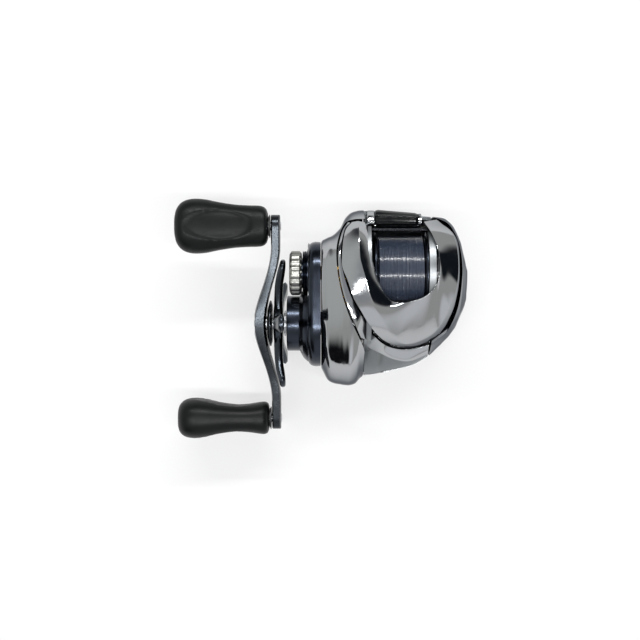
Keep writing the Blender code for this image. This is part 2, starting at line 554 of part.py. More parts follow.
def build_star(finish):
    hub = [(-49.4, 7.2), (-50.6, 8.6), (-53.0, 8.6), (-53.4, 7.6), (-53.4, SHAFT_RADIUS + GAP),
           (-49.4, SHAFT_RADIUS + GAP)]
    star = turned("star_drag", hub, MAIN_AXIS, finish["star"])
    stations = [(6.0, 3.8, -51.4, 1.7), (12.0, 3.0, -51.6, 1.4), (18.5, 2.9, -51.2, 1.3),
                (24.0, 3.7, -50.0, 1.2), (27.0, 3.0, -49.6, 1.1), (STAR_RADIUS, 1.3, -49.5, 0.8)]
    for number in range(5):
        angle = math.radians(18 + 72 * number)
        outward = Vector((math.cos(angle), math.sin(angle)))
        across = Vector((-outward.y, outward.x))
        sections = []
        for reach, half_width, x, half_thick in stations:
            section = []
            for side, depth in ((-1, 0), (-0.6, -1), (0.6, -1), (1, 0), (0.6, 1), (-0.6, 1)):
                place = Vector(MAIN_AXIS) + outward * reach + across * side * half_width
                section.append((x + depth * half_thick, place.x, place.y))
            sections.append(section)
        join(star, add_mesh(f"star_arm_{number}", loft_bm(sections), None, CUTTERS))
    cut(star, x_cutter("star_bore", (-60, -45), MAIN_AXIS, SHAFT_RADIUS + GAP))


def build_cast_control(finish):
    scallops = 12
    per_scallop = 4
    sections = []
    for x, radius, depth in ((-46.5, 8.6, 0.1), (-45.8, 9.4, 0.45), (-42.0, 9.4, 0.45), (-41.3, 8.8, 0.1)):
        ring_points = []
        for i in range(scallops * per_scallop):
            angle = i * math.tau / (scallops * per_scallop)
            reach = radius - depth * math.sin(scallops * angle / 2) ** 2
            place = (SPOOL_AXIS[0] + reach * math.cos(angle), SPOOL_AXIS[1] + reach * math.sin(angle))
            ring_points.append((x, *place))
        sections.append(ring_points)
    cap = add_mesh("cast_control_cap", loft_bm(sections), finish["silver"])
    cut(cap, x_cutter("cap_thread", (-44.8, -40), SPOOL_AXIS, 6.8))
    rod("cast_control_disc", (-44.3, *SPOOL_AXIS), (-43.5, *SPOOL_AXIS), 3.1, finish["brass"], segments=16)


def build_thumb_bar(finish):
    outline = [(24.8, 31.2), (31.2, 31.2), (31.7, 33.4), (30.6, 36.0), (28.0, 38.2), (25.6, 38.6),
               (24.8, 37.4)]
    plate("thumb_bar", outline, (-10.6, 6.8), finish["pad"])
    base_outline = [(24.6, 27.6), (30.6, 27.6), (31.4, 30.9), (24.6, 30.9)]
    bracket = plate("thumb_bar_bracket", base_outline, (-14.2, 8.2), finish["chrome"])
    cheek_outline = [(24.6, 30.0), (31.2, 30.0), (30.8, 34.0), (28.0, 37.6), (25.6, 38.0), (24.6, 36.8)]
    for number, x_span in ((1, (-14.2, -10.9)), (2, (7.1, 8.2))):
        join(bracket, plate(f"bracket_cheek_{number}", cheek_outline, x_span, None, CUTTERS))


# ---------------------------------------------------------------- handle

def smooth_step(t):
    t = min(max(t, 0.0), 1.0)
    return t * t * (3 - 2 * t)


def build_handle(finish):
    axis = bpy.data.objects.new("handle_axis", None)
    PARTS.objects.link(axis)
    axis.location = (0, MAIN_AXIS[0] * MM, MAIN_AXIS[1] * MM)
    axis.rotation_euler = (HANDLE_TILT, 0, 0)
    clear = SHAFT_RADIUS + GAP
    sections = []
    reach = HANDLE_RADIUS + 4.8
    steps = 20
    for i in range(steps + 1):
        along = -reach * math.cos(math.pi * i / steps)
        middle = -52.45 - 6.9 * (1 - smooth_step(abs(along) / 33))
        thick = 3.9 + 1.3 * (1 - smooth_step(abs(along) / 20))
        width = 4.3 + 1.6 * (1 - smooth_step(abs(along) / 26))
        to_end = reach - abs(along)
        if to_end < 4.8:
            width *= max(math.sqrt(1 - (1 - to_end / 4.8) ** 2), 0.25)
        sections.append([(middle + depth * thick / 2, along, side * width) for side, depth in ARM_SECTION])
    arm = add_mesh("handle_arm", loft_bm(sections), finish["gunmetal"], parent=axis)
    cut(arm, rod("nut_pocket", (-70, 0, 0), (-58.4, 0, 0), 5.1, None, CUTTERS, parent=axis),
        rod("arm_bore", (-70, 0, 0), (-50, 0, 0), clear, None, CUTTERS, parent=axis))
    collar_profile = [(-54.0, 8.0), (-54.5, 9.8), (-55.1, 9.8), (-56.1, 6.0), (-56.1, clear), (-54.0, clear)]
    turned("handle_collar", collar_profile, (0, 0), finish["gunmetal"], parent=axis)
    nut = rod("handle_nut", (-60.4, 0, 0), (-58.7, 0, 0), 4.7, finish["steel"], segments=6, parent=axis)
    cut(nut, rod("nut_bore", (-65, 0, 0), (-50, 0, 0), clear, None, CUTTERS, parent=axis))
    rod("nut_retainer", (-61.2, 0, 0), (-60.7, 0, 0), 4.7, finish["gunmetal"], segments=20, parent=axis)
    rod("retainer_screw", (-61.9, 0, 0), (-61.5, 0, 0), 1.7, finish["steel"], segments=12, parent=axis)
    knob_stations = [(-95.0, 4.2, 3.6), (-94.4, 6.6, 5.4), (-92.6, 9.4, 7.6), (-90.0, 11.0, 8.6),
                     (-86.2, 11.6, 8.8), (-81.5, 11.2, 8.2), (-75.0, 9.7, 6.9), (-68.0, 8.8, 6.2),
                     (-62.0, 8.7, 6.6), (-58.4, 8.4, 7.1), (-56.5, 7.4, 6.6), (-55.8, 5.8, 5.4)]
    for name, side, turn in (("rear", 1, -HANDLE_TILT), ("front", -1, math.pi / 2 - HANDLE_TILT)):
        place = (side * HANDLE_RADIUS, 0)
        cut(arm, rod(f"{name}_post_hole", (-60, *place), (-45, *place), 2.1, None, CUTTERS, parent=axis))
        post_profile = [(-50.6, 0), (-50.6, 1.8), (-93.2, 1.8), (-93.2, 0)]
        turned(f"{name}_knob_post", post_profile, place, finish["steel"], closed=False, steps=14, parent=axis)
        sections = []
        for x, broad, thin in knob_stations:
            section = []
            for i in range(18):
                angle = i * math.tau / 18
                c, s = math.cos(angle), math.sin(angle)
                section.append((x, broad * math.copysign(abs(c) ** 0.85, c),
                                thin * math.copysign(abs(s) ** 0.85, s)))
            sections.append(section)
        knob = add_mesh(f"{name}_knob", loft_bm(sections), finish["knob"], None, (0, *place), (turn, 0, 0),
                        axis)
        cut(knob, rod(f"{name}_knob_bore", (-93.4, *place), (-50, *place), 4.0, None, CUTTERS, 16, axis),
            rod(f"{name}_cap_seat", (-99, *place), (-93.0, *place), 3.2, None, CUTTERS, 16, axis))
        rod(f"{name}_knob_cap", (-95.2, *place), (-93.6, *place), 2.8, finish["silver"], segments=16,
            parent=axis)
        ring(f"{name}_knob_collar", (-55.5, -54.8), (2.1, 4.9), place, finish["plastic"], 20, axis)
        ring(f"{name}_knob_bearing", (-60.0, -57.5), (2.1, 3.7), place, finish["steel"], 16, axis)


def main():
    global PARTS, CUTTERS
    clear_scene()
    PARTS = new_collection("baitcasting_reel")
    CUTTERS = new_collection("cutters")
    finish = {
        "chrome": material("chrome", (0.80, 0.80, 0.82), 0.06, 1.0),
        "silver": material("silver", (0.72, 0.72, 0.70), 0.22, 1.0),
        "frame": material("frame", (0.55, 0.56, 0.58), 0.30, 1.0),
        "navy": material("navy", (0.05, 0.06, 0.10), 0.25, 0.8),
        "gunmetal": material("gunmetal", (0.12, 0.13, 0.14), 0.25, 0.9),
        "star": material("star", (0.07, 0.08, 0.09), 0.25, 0.9),
        "knob": material("knob", (0.015, 0.017, 0.017), 0.45, 0.0),
        "pad": material("pad", (0.01, 0.01, 0.012), 0.12, 0.0),
        "line": material("line", (0.10, 0.12, 0.18), 0.35, 0.0),
        "steel": material("steel", (0.60, 0.60, 0.60), 0.25, 1.0),
        "brass": material("brass", (0.65, 0.50, 0.25), 0.30, 1.0),
        "carbon": material("carbon", (0.03, 0.03, 0.03), 0.60, 0.0),
        "plastic": material("plastic", (0.03, 0.03, 0.035), 0.40, 0.0),
    }
    build_frame(finish["frame"])
    build_hood(finish["chrome"])
    build_front_lip(finish["chrome"])
    build_gear_housing(finish["chrome"])
    build_palm_cover(finish["chrome"])
    build_gear_side_cover(finish["navy"], finish["steel"])
    build_spool_group(finish)
    build_drive_train(finish)
    build_clutch(finish)
    build_level_wind(finish)
    build_star(finish)
    build_cast_control(finish)
    build_thumb_bar(finish)
    build_handle(finish)


main()
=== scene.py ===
"""Looks of a low-profile baitcasting reel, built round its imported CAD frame.

Sizes are in millimetres unless a name says otherwise, and become metres where the meshes are made.
"""

import json
import logging
import math
import random
from dataclasses import dataclass, field
from enum import Enum
from typing import Optional, Sequence

import bmesh
import bpy
from mathutils import Matrix, Vector


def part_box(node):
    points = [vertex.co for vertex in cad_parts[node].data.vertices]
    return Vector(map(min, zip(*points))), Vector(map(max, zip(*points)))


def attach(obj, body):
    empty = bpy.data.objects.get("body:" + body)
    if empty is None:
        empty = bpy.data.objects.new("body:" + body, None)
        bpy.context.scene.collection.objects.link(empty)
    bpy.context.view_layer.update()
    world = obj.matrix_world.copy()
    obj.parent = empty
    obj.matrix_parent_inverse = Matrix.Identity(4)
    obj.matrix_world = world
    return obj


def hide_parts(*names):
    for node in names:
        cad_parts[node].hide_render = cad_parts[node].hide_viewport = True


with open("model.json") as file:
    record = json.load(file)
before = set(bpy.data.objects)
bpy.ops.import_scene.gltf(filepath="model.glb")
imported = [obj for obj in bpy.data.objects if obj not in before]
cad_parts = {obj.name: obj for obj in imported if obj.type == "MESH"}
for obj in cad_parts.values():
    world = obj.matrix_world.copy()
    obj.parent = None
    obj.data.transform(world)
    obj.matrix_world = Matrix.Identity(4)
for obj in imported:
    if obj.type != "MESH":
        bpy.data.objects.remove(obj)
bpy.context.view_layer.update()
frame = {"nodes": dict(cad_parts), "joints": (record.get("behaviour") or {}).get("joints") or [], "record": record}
LOG = logging.getLogger("reel")
MM = 0.001

Pair = tuple[float, float]
Triple = tuple[float, float, float]


# ------------------------------------------------------------------ frame readings

def joint_axis(name: str) -> Pair:
    """Gives a hinge's axis as (y, z) in millimetres.

    Args:
        name: the joint's name in the record.

    Returns:
        The y and z of the joint's axis, which runs along X.
    """
    joint = next(j for j in frame["joints"] if j["name"] == name)
    return joint["pos_m"][1] / MM, joint["pos_m"][2] / MM


def span(node: str, axis: int) -> Pair:
    """Gives a CAD node's lowest and highest millimetre along one axis.

    Args:
        node: the CAD node's name.
        axis: 0, 1 or 2 for X, Y or Z.

    Returns:
        The node's lowest and highest value along the axis.
    """
    low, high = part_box(node)
    return low[axis] / MM, high[axis] / MM


SPOOL_AXIS = joint_axis("spool_spin")
MAIN_AXIS = joint_axis("handle_crank")
REAR_KNOB_AXIS = joint_axis("rear_knob_spin")
FRONT_KNOB_AXIS = joint_axis("front_knob_spin")
WORM_AXIS = joint_axis("worm_spin")
GUIDE_AXIS = (sum(span("guide_bar", 1)) / 2, sum(span("guide_bar", 2)) / 2)
HANDLE_TILT = math.atan2(REAR_KNOB_AXIS[1] - MAIN_AXIS[1], REAR_KNOB_AXIS[0] - MAIN_AXIS[0])
HANDLE_RADIUS = math.dist(REAR_KNOB_AXIS, MAIN_AXIS)


# ------------------------------------------------------------------ curves

def smooth_step(t: float) -> float:
    """Eases t from 0 to 1 with level ends."""
    t = min(max(t, 0.0), 1.0)
    return t * t * (3 - 2 * t)


def spline(points: Sequence[Sequence[float]], count: int, closed: bool = False) -> list[Vector]:
    """Draws a Catmull-Rom curve through points.

    Args:
        points: the points that the curve passes through, all of one length.
        count: how many points to return.
        closed: whether the curve joins its start.

    Returns:
        The points of the curve, evenly spaced in its parameter.
    """
    held = [Vector(p) for p in points]
    spans = len(held) if closed else len(held) - 1

    def at(index: int) -> Vector:
        """Gives a control point, reflected past an open end.

        Args:
            index: the point's number, which may lie past either end.

        Returns:
            The point.
        """
        if closed:
            return held[index % len(held)]
        if index < 0:
            return 2 * held[0] - held[1]
        if index >= len(held):
            return 2 * held[-1] - held[-2]
        return held[index]

    curve = []
    for step in range(count):
        place = step / (count if closed else count - 1) * spans
        i = min(int(place), spans - 1)
        t = place - i
        a, b, c, d = at(i - 1), at(i), at(i + 1), at(i + 2)
        curve.append(0.5 * (2 * b + (c - a) * t + (2 * a - 5 * b + 4 * c - d) * t ** 2
                            + (3 * b - a - 3 * c + d) * t ** 3))
    return curve


def fillet(points: Sequence[Pair], radius: float, steps: int = 4, closed: bool = True) -> list[Vector]:
    """Rounds the corners of a flat polyline.

    Args:
        points: the corners.
        radius: how far each rounding reaches along its two sides.
        steps: how many spans each rounding has.
        closed: whether the polyline is a loop.

    Returns:
        The rounded polyline.
    """
    held = [Vector(p) for p in points]
    rounded = []
    for i, corner in enumerate(held):
        if not closed and i in (0, len(held) - 1):
            rounded.append(corner)
            continue
        before, after = held[i - 1] - corner, held[(i + 1) % len(held)] - corner
        reach = min(radius, before.length * 0.45, after.length * 0.45)
        start, end = corner + before.normalized() * reach, corner + after.normalized() * reach
        for step in range(steps + 1):
            t = step / steps
            rounded.append((1 - t) ** 2 * start + 2 * t * (1 - t) * corner + t * t * end)
    return rounded


def offset_loop(loop: Sequence[Vector], distance: float) -> list[Vector]:
    """Moves a counter-clockwise loop inwards.

    Args:
        loop: the loop's points.
        distance: how far each point moves.

    Returns:
        The moved loop.
    """
    moved = []
    for i, point in enumerate(loop):
        along = (loop[(i + 1) % len(loop)] - loop[i - 1]).normalized()
        moved.append(point + Vector((-along.y, along.x)) * distance)
    return moved


# ------------------------------------------------------------------ meshes

def finish_mesh(name: str, bm: bmesh.types.BMesh, sharp: float = 32.0) -> bpy.types.Object:
    """Turns a bmesh into a shaded object at the origin.

    Args:
        name: the piece's name.
        bm: the mesh, in metres, which is freed.
        sharp: the angle in degrees above which an edge stays sharp.

    Returns:
        The new object.
    """
    mesh = bpy.data.meshes.new(name)
    bm.to_mesh(mesh)
    bm.free()
    mesh.shade_smooth()
    mesh.set_sharp_from_angle(angle=math.radians(sharp))
    piece = bpy.data.objects.new(name, mesh)
    bpy.context.scene.collection.objects.link(piece)
    return piece


def grid_into(bm: bmesh.types.BMesh, rows: Sequence[Sequence[Vector]], cap: bool = True) -> None:
    """Lays a grid over rows of points and adds it to a bmesh as a closed skin.

    Args:
        bm: the mesh to add to.
        rows: rows of equal length, in millimetres; each row is a loop.
        cap: whether the first and last rows are filled. Otherwise the last row meets the first.
    """
    wide, tall = len(rows[0]) + 1, len(rows) + (0 if cap else 1)
    made = bmesh.ops.create_grid(bm, x_segments=wide - 1, y_segments=tall - 1, size=1.0)["verts"]
    for j in range(tall):
        row = rows[j % len(rows)]
        for i in range(wide):
            made[j * wide + i].co = Vector(row[i % len(row)]) * MM
    faces = list({face for vert in made for face in vert.link_faces})
    bmesh.ops.remove_doubles(bm, verts=made, dist=1e-7)
    faces = [face for face in faces if face.is_valid]
    if cap:
        rims = [edge for edge in {e for f in faces for e in f.edges} if edge.is_boundary]
        faces += bmesh.ops.holes_fill(bm, edges=rims, sides=0)["faces"]
    bmesh.ops.recalc_face_normals(bm, faces=faces)


def skin(name: str, rows: Sequence[Sequence[Vector]], cap: bool = True, sharp: float = 32.0) -> bpy.types.Object:
    """Makes one closed piece from rows of points.

    Args:
        name: the piece's name.
        rows: its rows, as for grid_into.
        cap: whether the first and last rows are filled.
        sharp: the angle in degrees above which an edge stays sharp.

    Returns:
        The new piece.
    """
    bm = bmesh.new()
    grid_into(bm, rows, cap)
    return finish_mesh(name, bm, sharp)


def lathe_into(bm: bmesh.types.BMesh, profile: Sequence[Pair], axis: Pair, steps: int = 96,
               closed: bool = False) -> None:
    """Spins a profile about a line parallel to X and adds it to a bmesh.

    Args:
        bm: the mesh to add to.
        profile: points (x, radius), in millimetres.
        axis: the line's (y, z).
        steps: spans round the turn.
        closed: whether the profile is a loop, as for a ring.
    """
    verts = [bm.verts.new(Vector((p[0], axis[0], axis[1] + p[1])) * MM) for p in profile]
    pairs = list(zip(verts, verts[1:])) + ([(verts[-1], verts[0])] if closed else [])
    edges = [bm.edges.new(pair) for pair in pairs]
    before = set(bm.faces)
    bmesh.ops.spin(bm, geom=verts + edges, cent=(0, axis[0] * MM, axis[1] * MM), axis=(1, 0, 0),
                   angle=math.tau, steps=steps, use_merge=True)
    faces = [face for face in bm.faces if face not in before]
    bmesh.ops.remove_doubles(bm, verts=list({v for f in faces for v in f.verts}), dist=2e-7)
    faces = [face for face in bm.faces if face.is_valid and face not in before]
    bmesh.ops.recalc_face_normals(bm, faces=faces)


def lathe(name: str, profile: Sequence[Pair], axis: Pair, steps: int = 96, closed: bool = False,
          sharp: float = 32.0) -> bpy.types.Object:
    """Makes one turned piece.

    Args:
        name: the piece's name.
        profile: points (x, radius), in millimetres.
        axis: the axis's (y, z).
        steps: spans round the turn.
        closed: whether the profile is a loop.
        sharp: the angle in degrees above which an edge stays sharp.

    Returns:
        The new piece.
    """
    bm = bmesh.new()
    lathe_into(bm, profile, axis, steps, closed)
    return finish_mesh(name, bm, sharp)


class Plane(Enum):
    """The plane in which a flat outline is drawn."""

    SIDE = "outline (y, z), given thickness along X"
    PLAN = "outline (x, y), given thickness along Z"


def slab_into(bm: bmesh.types.BMesh, outline: Sequence[Pair], reach: Pair, plane: Plane = Plane.SIDE,
              rounding: float = 0.3, segments: int = 3) -> None:
    """Adds a flat outline with thickness and rounded rims to a bmesh.

    Args:
        bm: the mesh to add to.
        outline: the corners of the outline.
        reach: where the thickness starts and ends.
        plane: the plane of the outline.
        rounding: width of the bevel on both rims.
        segments: spans of that bevel.
    """
    def place(point: Pair, depth: float) -> Vector:
        """Puts an outline point in space."""
        a, b = point[0], point[1]
        return Vector((depth, a, b) if plane is Plane.SIDE else (a, b, depth)) * MM

    before = set(bm.faces)
    base = bm.faces.new([bm.verts.new(place(p, reach[0])) for p in outline])
    lift = place((0, 0), reach[1] - reach[0])
    grown = bmesh.ops.extrude_face_region(bm, geom=[base], use_keep_orig=True)["geom"]
    bmesh.ops.translate(bm, vec=lift, verts=[g for g in grown if isinstance(g, bmesh.types.BMVert)])
    faces = [face for face in bm.faces if face not in before]
    bmesh.ops.recalc_face_normals(bm, faces=faces)
    if rounding > 0:
        caps = [face for face in faces if len(face.verts) == len(outline)]
        rims = list({edge for face in caps for edge in face.edges})
        bmesh.ops.bevel(bm, geom=rims, affect="EDGES", offset=rounding * MM, segments=segments, profile=0.5,
                        material=-1, clamp_overlap=True)


def slab(name: str, outline: Sequence[Pair], reach: Pair, plane: Plane = Plane.SIDE, rounding: float = 0.3,
         sharp: float = 32.0) -> bpy.types.Object:
    """Makes one flat piece with rounded rims.

    Args:
        name: the piece's name.
        outline: the corners of its outline.
        reach: where its thickness starts and ends.
        plane: the plane of the outline.
        rounding: width of the bevel on both rims.
        sharp: the angle in degrees above which an edge stays sharp.

    Returns:
        The new piece.
    """
    bm = bmesh.new()
    slab_into(bm, outline, reach, plane, rounding)
    return finish_mesh(name, bm, sharp)


def carve(piece: bpy.types.Object, *cutters: bpy.types.Object, sharp: float = 28.0) -> bpy.types.Object:
    """Cuts other pieces out of a piece, applies the cuts and removes the cutters.

    Args:
        piece: the piece, which keeps its place.
        cutters: closed pieces.
        sharp: the angle in degrees above which an edge of the result stays sharp.

    Returns:
        The piece.
    """
    for cutter in cutters:
        change = piece.modifiers.new("cut", "BOOLEAN")
        change.operation = "DIFFERENCE"
        change.solver = "EXACT"
        change.object = cutter
    graph = bpy.context.evaluated_depsgraph_get()
    cut = bpy.data.meshes.new_from_object(piece.evaluated_get(graph))
    piece.modifiers.clear()
    piece.data = cut
    for cutter in cutters:
        bpy.data.objects.remove(cutter, do_unlink=True)
    piece.data.shade_smooth()
    piece.data.set_sharp_from_angle(angle=math.radians(sharp))
    return piece


def round_edges(piece: bpy.types.Object, width: float, segments: int, angle: float) -> None:
    """Adds a live bevel on a piece's sharp edges.

    Args:
        piece: the piece.
        width: the bevel's width in millimetres.
        segments: its spans.
        angle: the edge angle, in degrees, above which it acts.
    """
    bevel = piece.modifiers.new("rounded edges", "BEVEL")
    bevel.width = width * MM
    bevel.segments = segments
    bevel.limit_method = "ANGLE"
    bevel.angle_limit = math.radians(angle)
    bevel.harden_normals = True


def x_rod(reach: Pair, axis: Pair, radius: float, steps: int = 96) -> bpy.types.Object:
    """Makes a plain round bar along X, for use as a cutter."""
    return lathe("x_cutter", [(reach[0], 0.0), (reach[0], radius), (reach[1], radius), (reach[1], 0.0)], axis, steps)


def arc(centre: Pair, radius: float, start: float, end: float, count: int) -> list[Pair]:
    """Gives points on an arc, with its angles in degrees from the first axis."""
    angles = [math.radians(start + (end - start) * i / (count - 1)) for i in range(count)]
    return [(centre[0] + radius * math.cos(a), centre[1] + radius * math.sin(a)) for a in angles]


def belt_outline(a: Pair, radius_a: float, b: Pair, radius_b: float, count: int = 40) -> list[Pair]:
    """Gives the outline of a belt round two circles.

    Args:
        a: centre of the first circle.
        radius_a: its radius.
        b: centre of the second circle.
        radius_b: its radius.
        count: points on each round end.

    Returns:
        The outline's points.
    """
    gap = Vector(b) - Vector(a)
    heading = math.degrees(math.atan2(gap.y, gap.x))
    lean = math.degrees(math.acos((radius_a - radius_b) / gap.length))
    return (arc(b, radius_b, heading - lean, heading + lean, count)
            + arc(a, radius_a, heading + lean, heading + 360 - lean, count))


# ------------------------------------------------------------------ finishes

def linear(code: str) -> tuple[float, float, float, float]:
    """Turns an sRGB hex colour such as "c0c4c8" into linear colour."""
    parts = [int(code[i:i + 2], 16) / 255 for i in (0, 2, 4)]
    return (*(c / 12.92 if c <= 0.04045 else ((c + 0.055) / 1.055) ** 2.4 for c in parts), 1.0)


def node(tree: bpy.types.NodeTree, kind: str, settings: Optional[dict] = None, links: Optional[dict] = None
         ) -> bpy.types.Node:
    """Adds one shader node.

    Args:
        tree: the material's node tree.
        kind: the node's type, such as ShaderNodeTexNoise.
        settings: attributes by name, and input values by name or number.
        links: sockets to join, by the new node's input name or number.

    Returns:
        The new node.
    """
    made = tree.nodes.new(kind)
    for key, value in (settings or {}).items():
        if isinstance(key, int) or key in made.inputs:
            made.inputs[key].default_value = value
        else:
            setattr(made, key, value)
    for key, socket in (links or {}).items():
        tree.links.new(socket, made.inputs[key])
    return made


@dataclass(frozen=True)
class Finish:
    """A surface finish: one material with its base values and its own surface detail.

    The grain is a noise stretched along the tool's direction, its size in millimetres. The edge is
    the tint of a metal seen at a grazing angle.
    """

    name: str
    colour: str
    metallic: float = 0.0
    roughness: float = 0.4
    coat: float = 0.0
    specular: float = 0.5
    grain_mm: Triple = (0.4, 0.4, 0.4)
    grain_depth_mm: float = 0.0
    wear: float = 0.0
    shade: str = ""
    shade_mm: float = 6.0
    edge: str = "ffffff"

    def material(self) -> bpy.types.Material:
        """Builds the material, or gives the one already built.

        Returns:
            The material of this finish.
        """
        found = bpy.data.materials.get(self.name)
        if found:
            return found
        made = bpy.data.materials.new(self.name)
        made.use_nodes = True
        tree = made.node_tree
        shader = tree.nodes["Principled BSDF"]
        shader.inputs["Base Color"].default_value = linear(self.colour)
        shader.inputs["Metallic"].default_value = self.metallic
        shader.inputs["Roughness"].default_value = self.roughness
        shader.inputs["Coat Weight"].default_value = self.coat
        shader.inputs["Coat Roughness"].default_value = 0.05
        if self.metallic:
            shader.inputs["Specular Tint"].default_value = linear(self.edge)
        else:
            shader.inputs["Specular IOR Level"].default_value = self.specular
        place = node(tree, "ShaderNodeTexCoord").outputs["Object"]
        self.add_colour(tree, shader, place)
        self.add_roughness(tree, shader, place)
        self.add_relief(tree, shader, place)
        return made

    def add_colour(self, tree: bpy.types.NodeTree, shader: bpy.types.Node, place: bpy.types.NodeSocket) -> None:
        """Adds the slow drift of colour over the surface.

        Args:
            tree: the material's node tree.
            shader: its surface shader.
            place: the object's own coordinates.
        """
        if not self.shade:
            return
        drift = node(tree, "ShaderNodeTexNoise", {"Scale": 1 / (self.shade_mm * MM), "Detail": 2.0},
                     {"Vector": place})
        mixed = node(tree, "ShaderNodeMix", {"data_type": "RGBA"}, {0: drift.outputs[0]})
        mixed.inputs[6].default_value = linear(self.colour)
        mixed.inputs[7].default_value = linear(self.shade)
        tree.links.new(mixed.outputs[2], shader.inputs["Base Color"])

    def add_roughness(self, tree: bpy.types.NodeTree, shader: bpy.types.Node, place: bpy.types.NodeSocket) -> None:
        """Adds handling marks, which dull the gloss in patches.

        Args:
            tree: the material's node tree.
            shader: its surface shader.
            place: the object's own coordinates.
        """
        if not self.wear:
            return
        marks = node(tree, "ShaderNodeTexNoise", {"Scale": 1 / (3.0 * MM), "Detail": 5.0, "Roughness": 0.65},
                     {"Vector": place})
        ramp = node(tree, "ShaderNodeMapRange", {"From Min": 0.35, "From Max": 0.75, "To Min": self.roughness,
                                                 "To Max": self.roughness + self.wear},
                    {"Value": marks.outputs[0]})
        tree.links.new(ramp.outputs[0], shader.inputs["Roughness"])

    def add_relief(self, tree: bpy.types.NodeTree, shader: bpy.types.Node, place: bpy.types.NodeSocket) -> None:
        """Adds the tool or mould grain as relief.

        Args:
            tree: the material's node tree.
            shader: its surface shader.
            place: the object's own coordinates.
        """
        if not self.grain_depth_mm:
            return
        scales = [1 / (size * MM) for size in self.grain_mm]
        stretched = node(tree, "ShaderNodeMapping", {"Scale": scales}, {"Vector": place})
        grain = node(tree, "ShaderNodeTexNoise", {"Scale": 1.0, "Detail": 3.0}, {"Vector": stretched.outputs[0]})
        bump = node(tree, "ShaderNodeBump", {"Strength": 1.0, "Distance": self.grain_depth_mm * MM},
                    {"Height": grain.outputs[0]})
        tree.links.new(bump.outputs[0], shader.inputs["Normal"])

    def dress(self, *pieces: bpy.types.Object) -> None:
        """Gives the pieces this finish alone."""
        for piece in pieces:
            piece.data.materials.clear()
            piece.data.materials.append(self.material())


# Polished chrome plate on a light-metal casting: a mirror with faint waves left by hand polishing
CHROME = Finish("polished_chrome_plate", "acaeb0", 1.0, 0.05, grain_mm=(9.0, 9.0, 9.0), grain_depth_mm=0.005,
                wear=0.1, edge="86888c")
# Bright die-cast magnesium left satin: soft metal sheen with a fine sandy skin
CASTING = Finish("satin_die_cast_magnesium", "7a7d7f", 1.0, 0.34, grain_mm=(0.5, 0.5, 0.5), grain_depth_mm=0.01,
                 wear=0.1, shade="8b8e90")
# Hard-anodised aluminium dyed dark navy: blue-black metal with a tight satin gloss
NAVY = Finish("navy_anodised_aluminium", "2c3038", 1.0, 0.2, grain_mm=(0.3, 1.2, 1.2), grain_depth_mm=0.003,
              wear=0.08, shade="383d46")
# Aluminium dyed gunmetal: dark grey metal, slightly brushed along its length
GUNMETAL = Finish("gunmetal_anodised_aluminium", "303336", 1.0, 0.24, grain_mm=(0.4, 5.0, 0.4),
                  grain_depth_mm=0.004, wear=0.07, shade="3c4044")
# Aluminium dyed black-grey for the star: darker and glossier than the crank
STAR_GREY = Finish("black_grey_anodised_aluminium", "33373c", 1.0, 0.17, grain_mm=(0.4, 0.4, 0.4),
                   grain_depth_mm=0.003, wear=0.06, shade="41464c")
# Machined aluminium left clear: pale metal with turning marks round its axis
CLEAR_ALUMINIUM = Finish("clear_anodised_aluminium", "8e8e8a", 1.0, 0.34, grain_mm=(0.25, 2.0, 2.0),
                         grain_depth_mm=0.006, wear=0.06)
# Moulded elastomer grip: near black, low sheen, fine spark-eroded texture
GRIP_RUBBER = Finish("moulded_grip_rubber", "070808", 0.0, 0.36, specular=0.15, grain_mm=(0.35, 0.35, 0.35),
                     grain_depth_mm=0.012, wear=0.12, shade="0d0f0f", shade_mm=9.0)
# Injection-moulded gloss black polymer of the thumb pad
PAD_GLOSS = Finish("gloss_black_polyamide", "060708", 0.0, 0.1, specular=0.22, grain_mm=(9.0, 9.0, 9.0),
                   grain_depth_mm=0.0008, wear=0.08)
# Light-metal bar under a black satin coat, between the frame's walls
DARK_TRIM = Finish("black_coated_light_metal", "1a1b1d", 1.0, 0.24, grain_mm=(2.0, 0.4, 0.4), grain_depth_mm=0.003,
                   wear=0.08)
# Hardened steel, ground: shafts, bearings and screws
STEEL = Finish("ground_bearing_steel", "b4b6b8", 1.0, 0.22, grain_mm=(0.2, 1.5, 1.5), grain_depth_mm=0.003,
               wear=0.06)
# Cut brass gear blanks
BRASS = Finish("cut_gear_brass", "b08d4f", 1.0, 0.28, grain_mm=(0.3, 1.0, 1.0), grain_depth_mm=0.004, wear=0.08)
# Woven carbon drag disc: dull black cloth under resin
CARBON = Finish("woven_carbon_disc", "1b1c1e", 0.0, 0.5, grain_mm=(0.8, 0.8, 0.8), grain_depth_mm=0.03,
                shade="2a2c2f", shade_mm=1.2)
# Moulded acetal of the small working pieces
ACETAL = Finish("moulded_black_acetal", "17181a", 0.0, 0.38, grain_mm=(0.6, 0.6, 0.6), grain_depth_mm=0.006,
                wear=0.08)
# Wound nylon monofilament, dyed blue-grey: each strand is glossy and slightly clear
LINE = Finish("wound_blue_grey_monofilament", "343b49", 0.0, 0.2, coat=0.5, specular=0.7,
              grain_mm=(0.35, 2.6, 2.6), grain_depth_mm=0.05, shade="222834", shade_mm=1.6)

SLOT_FINISHES = {"chrome": CHROME, "silver": CLEAR_ALUMINIUM, "frame": CASTING, "navy": NAVY,
                 "gunmetal": GUNMETAL, "star": STAR_GREY, "knob": GRIP_RUBBER, "pad": PAD_GLOSS, "line": LINE,
                 "steel": STEEL, "brass": BRASS, "carbon": CARBON, "plastic": ACETAL}


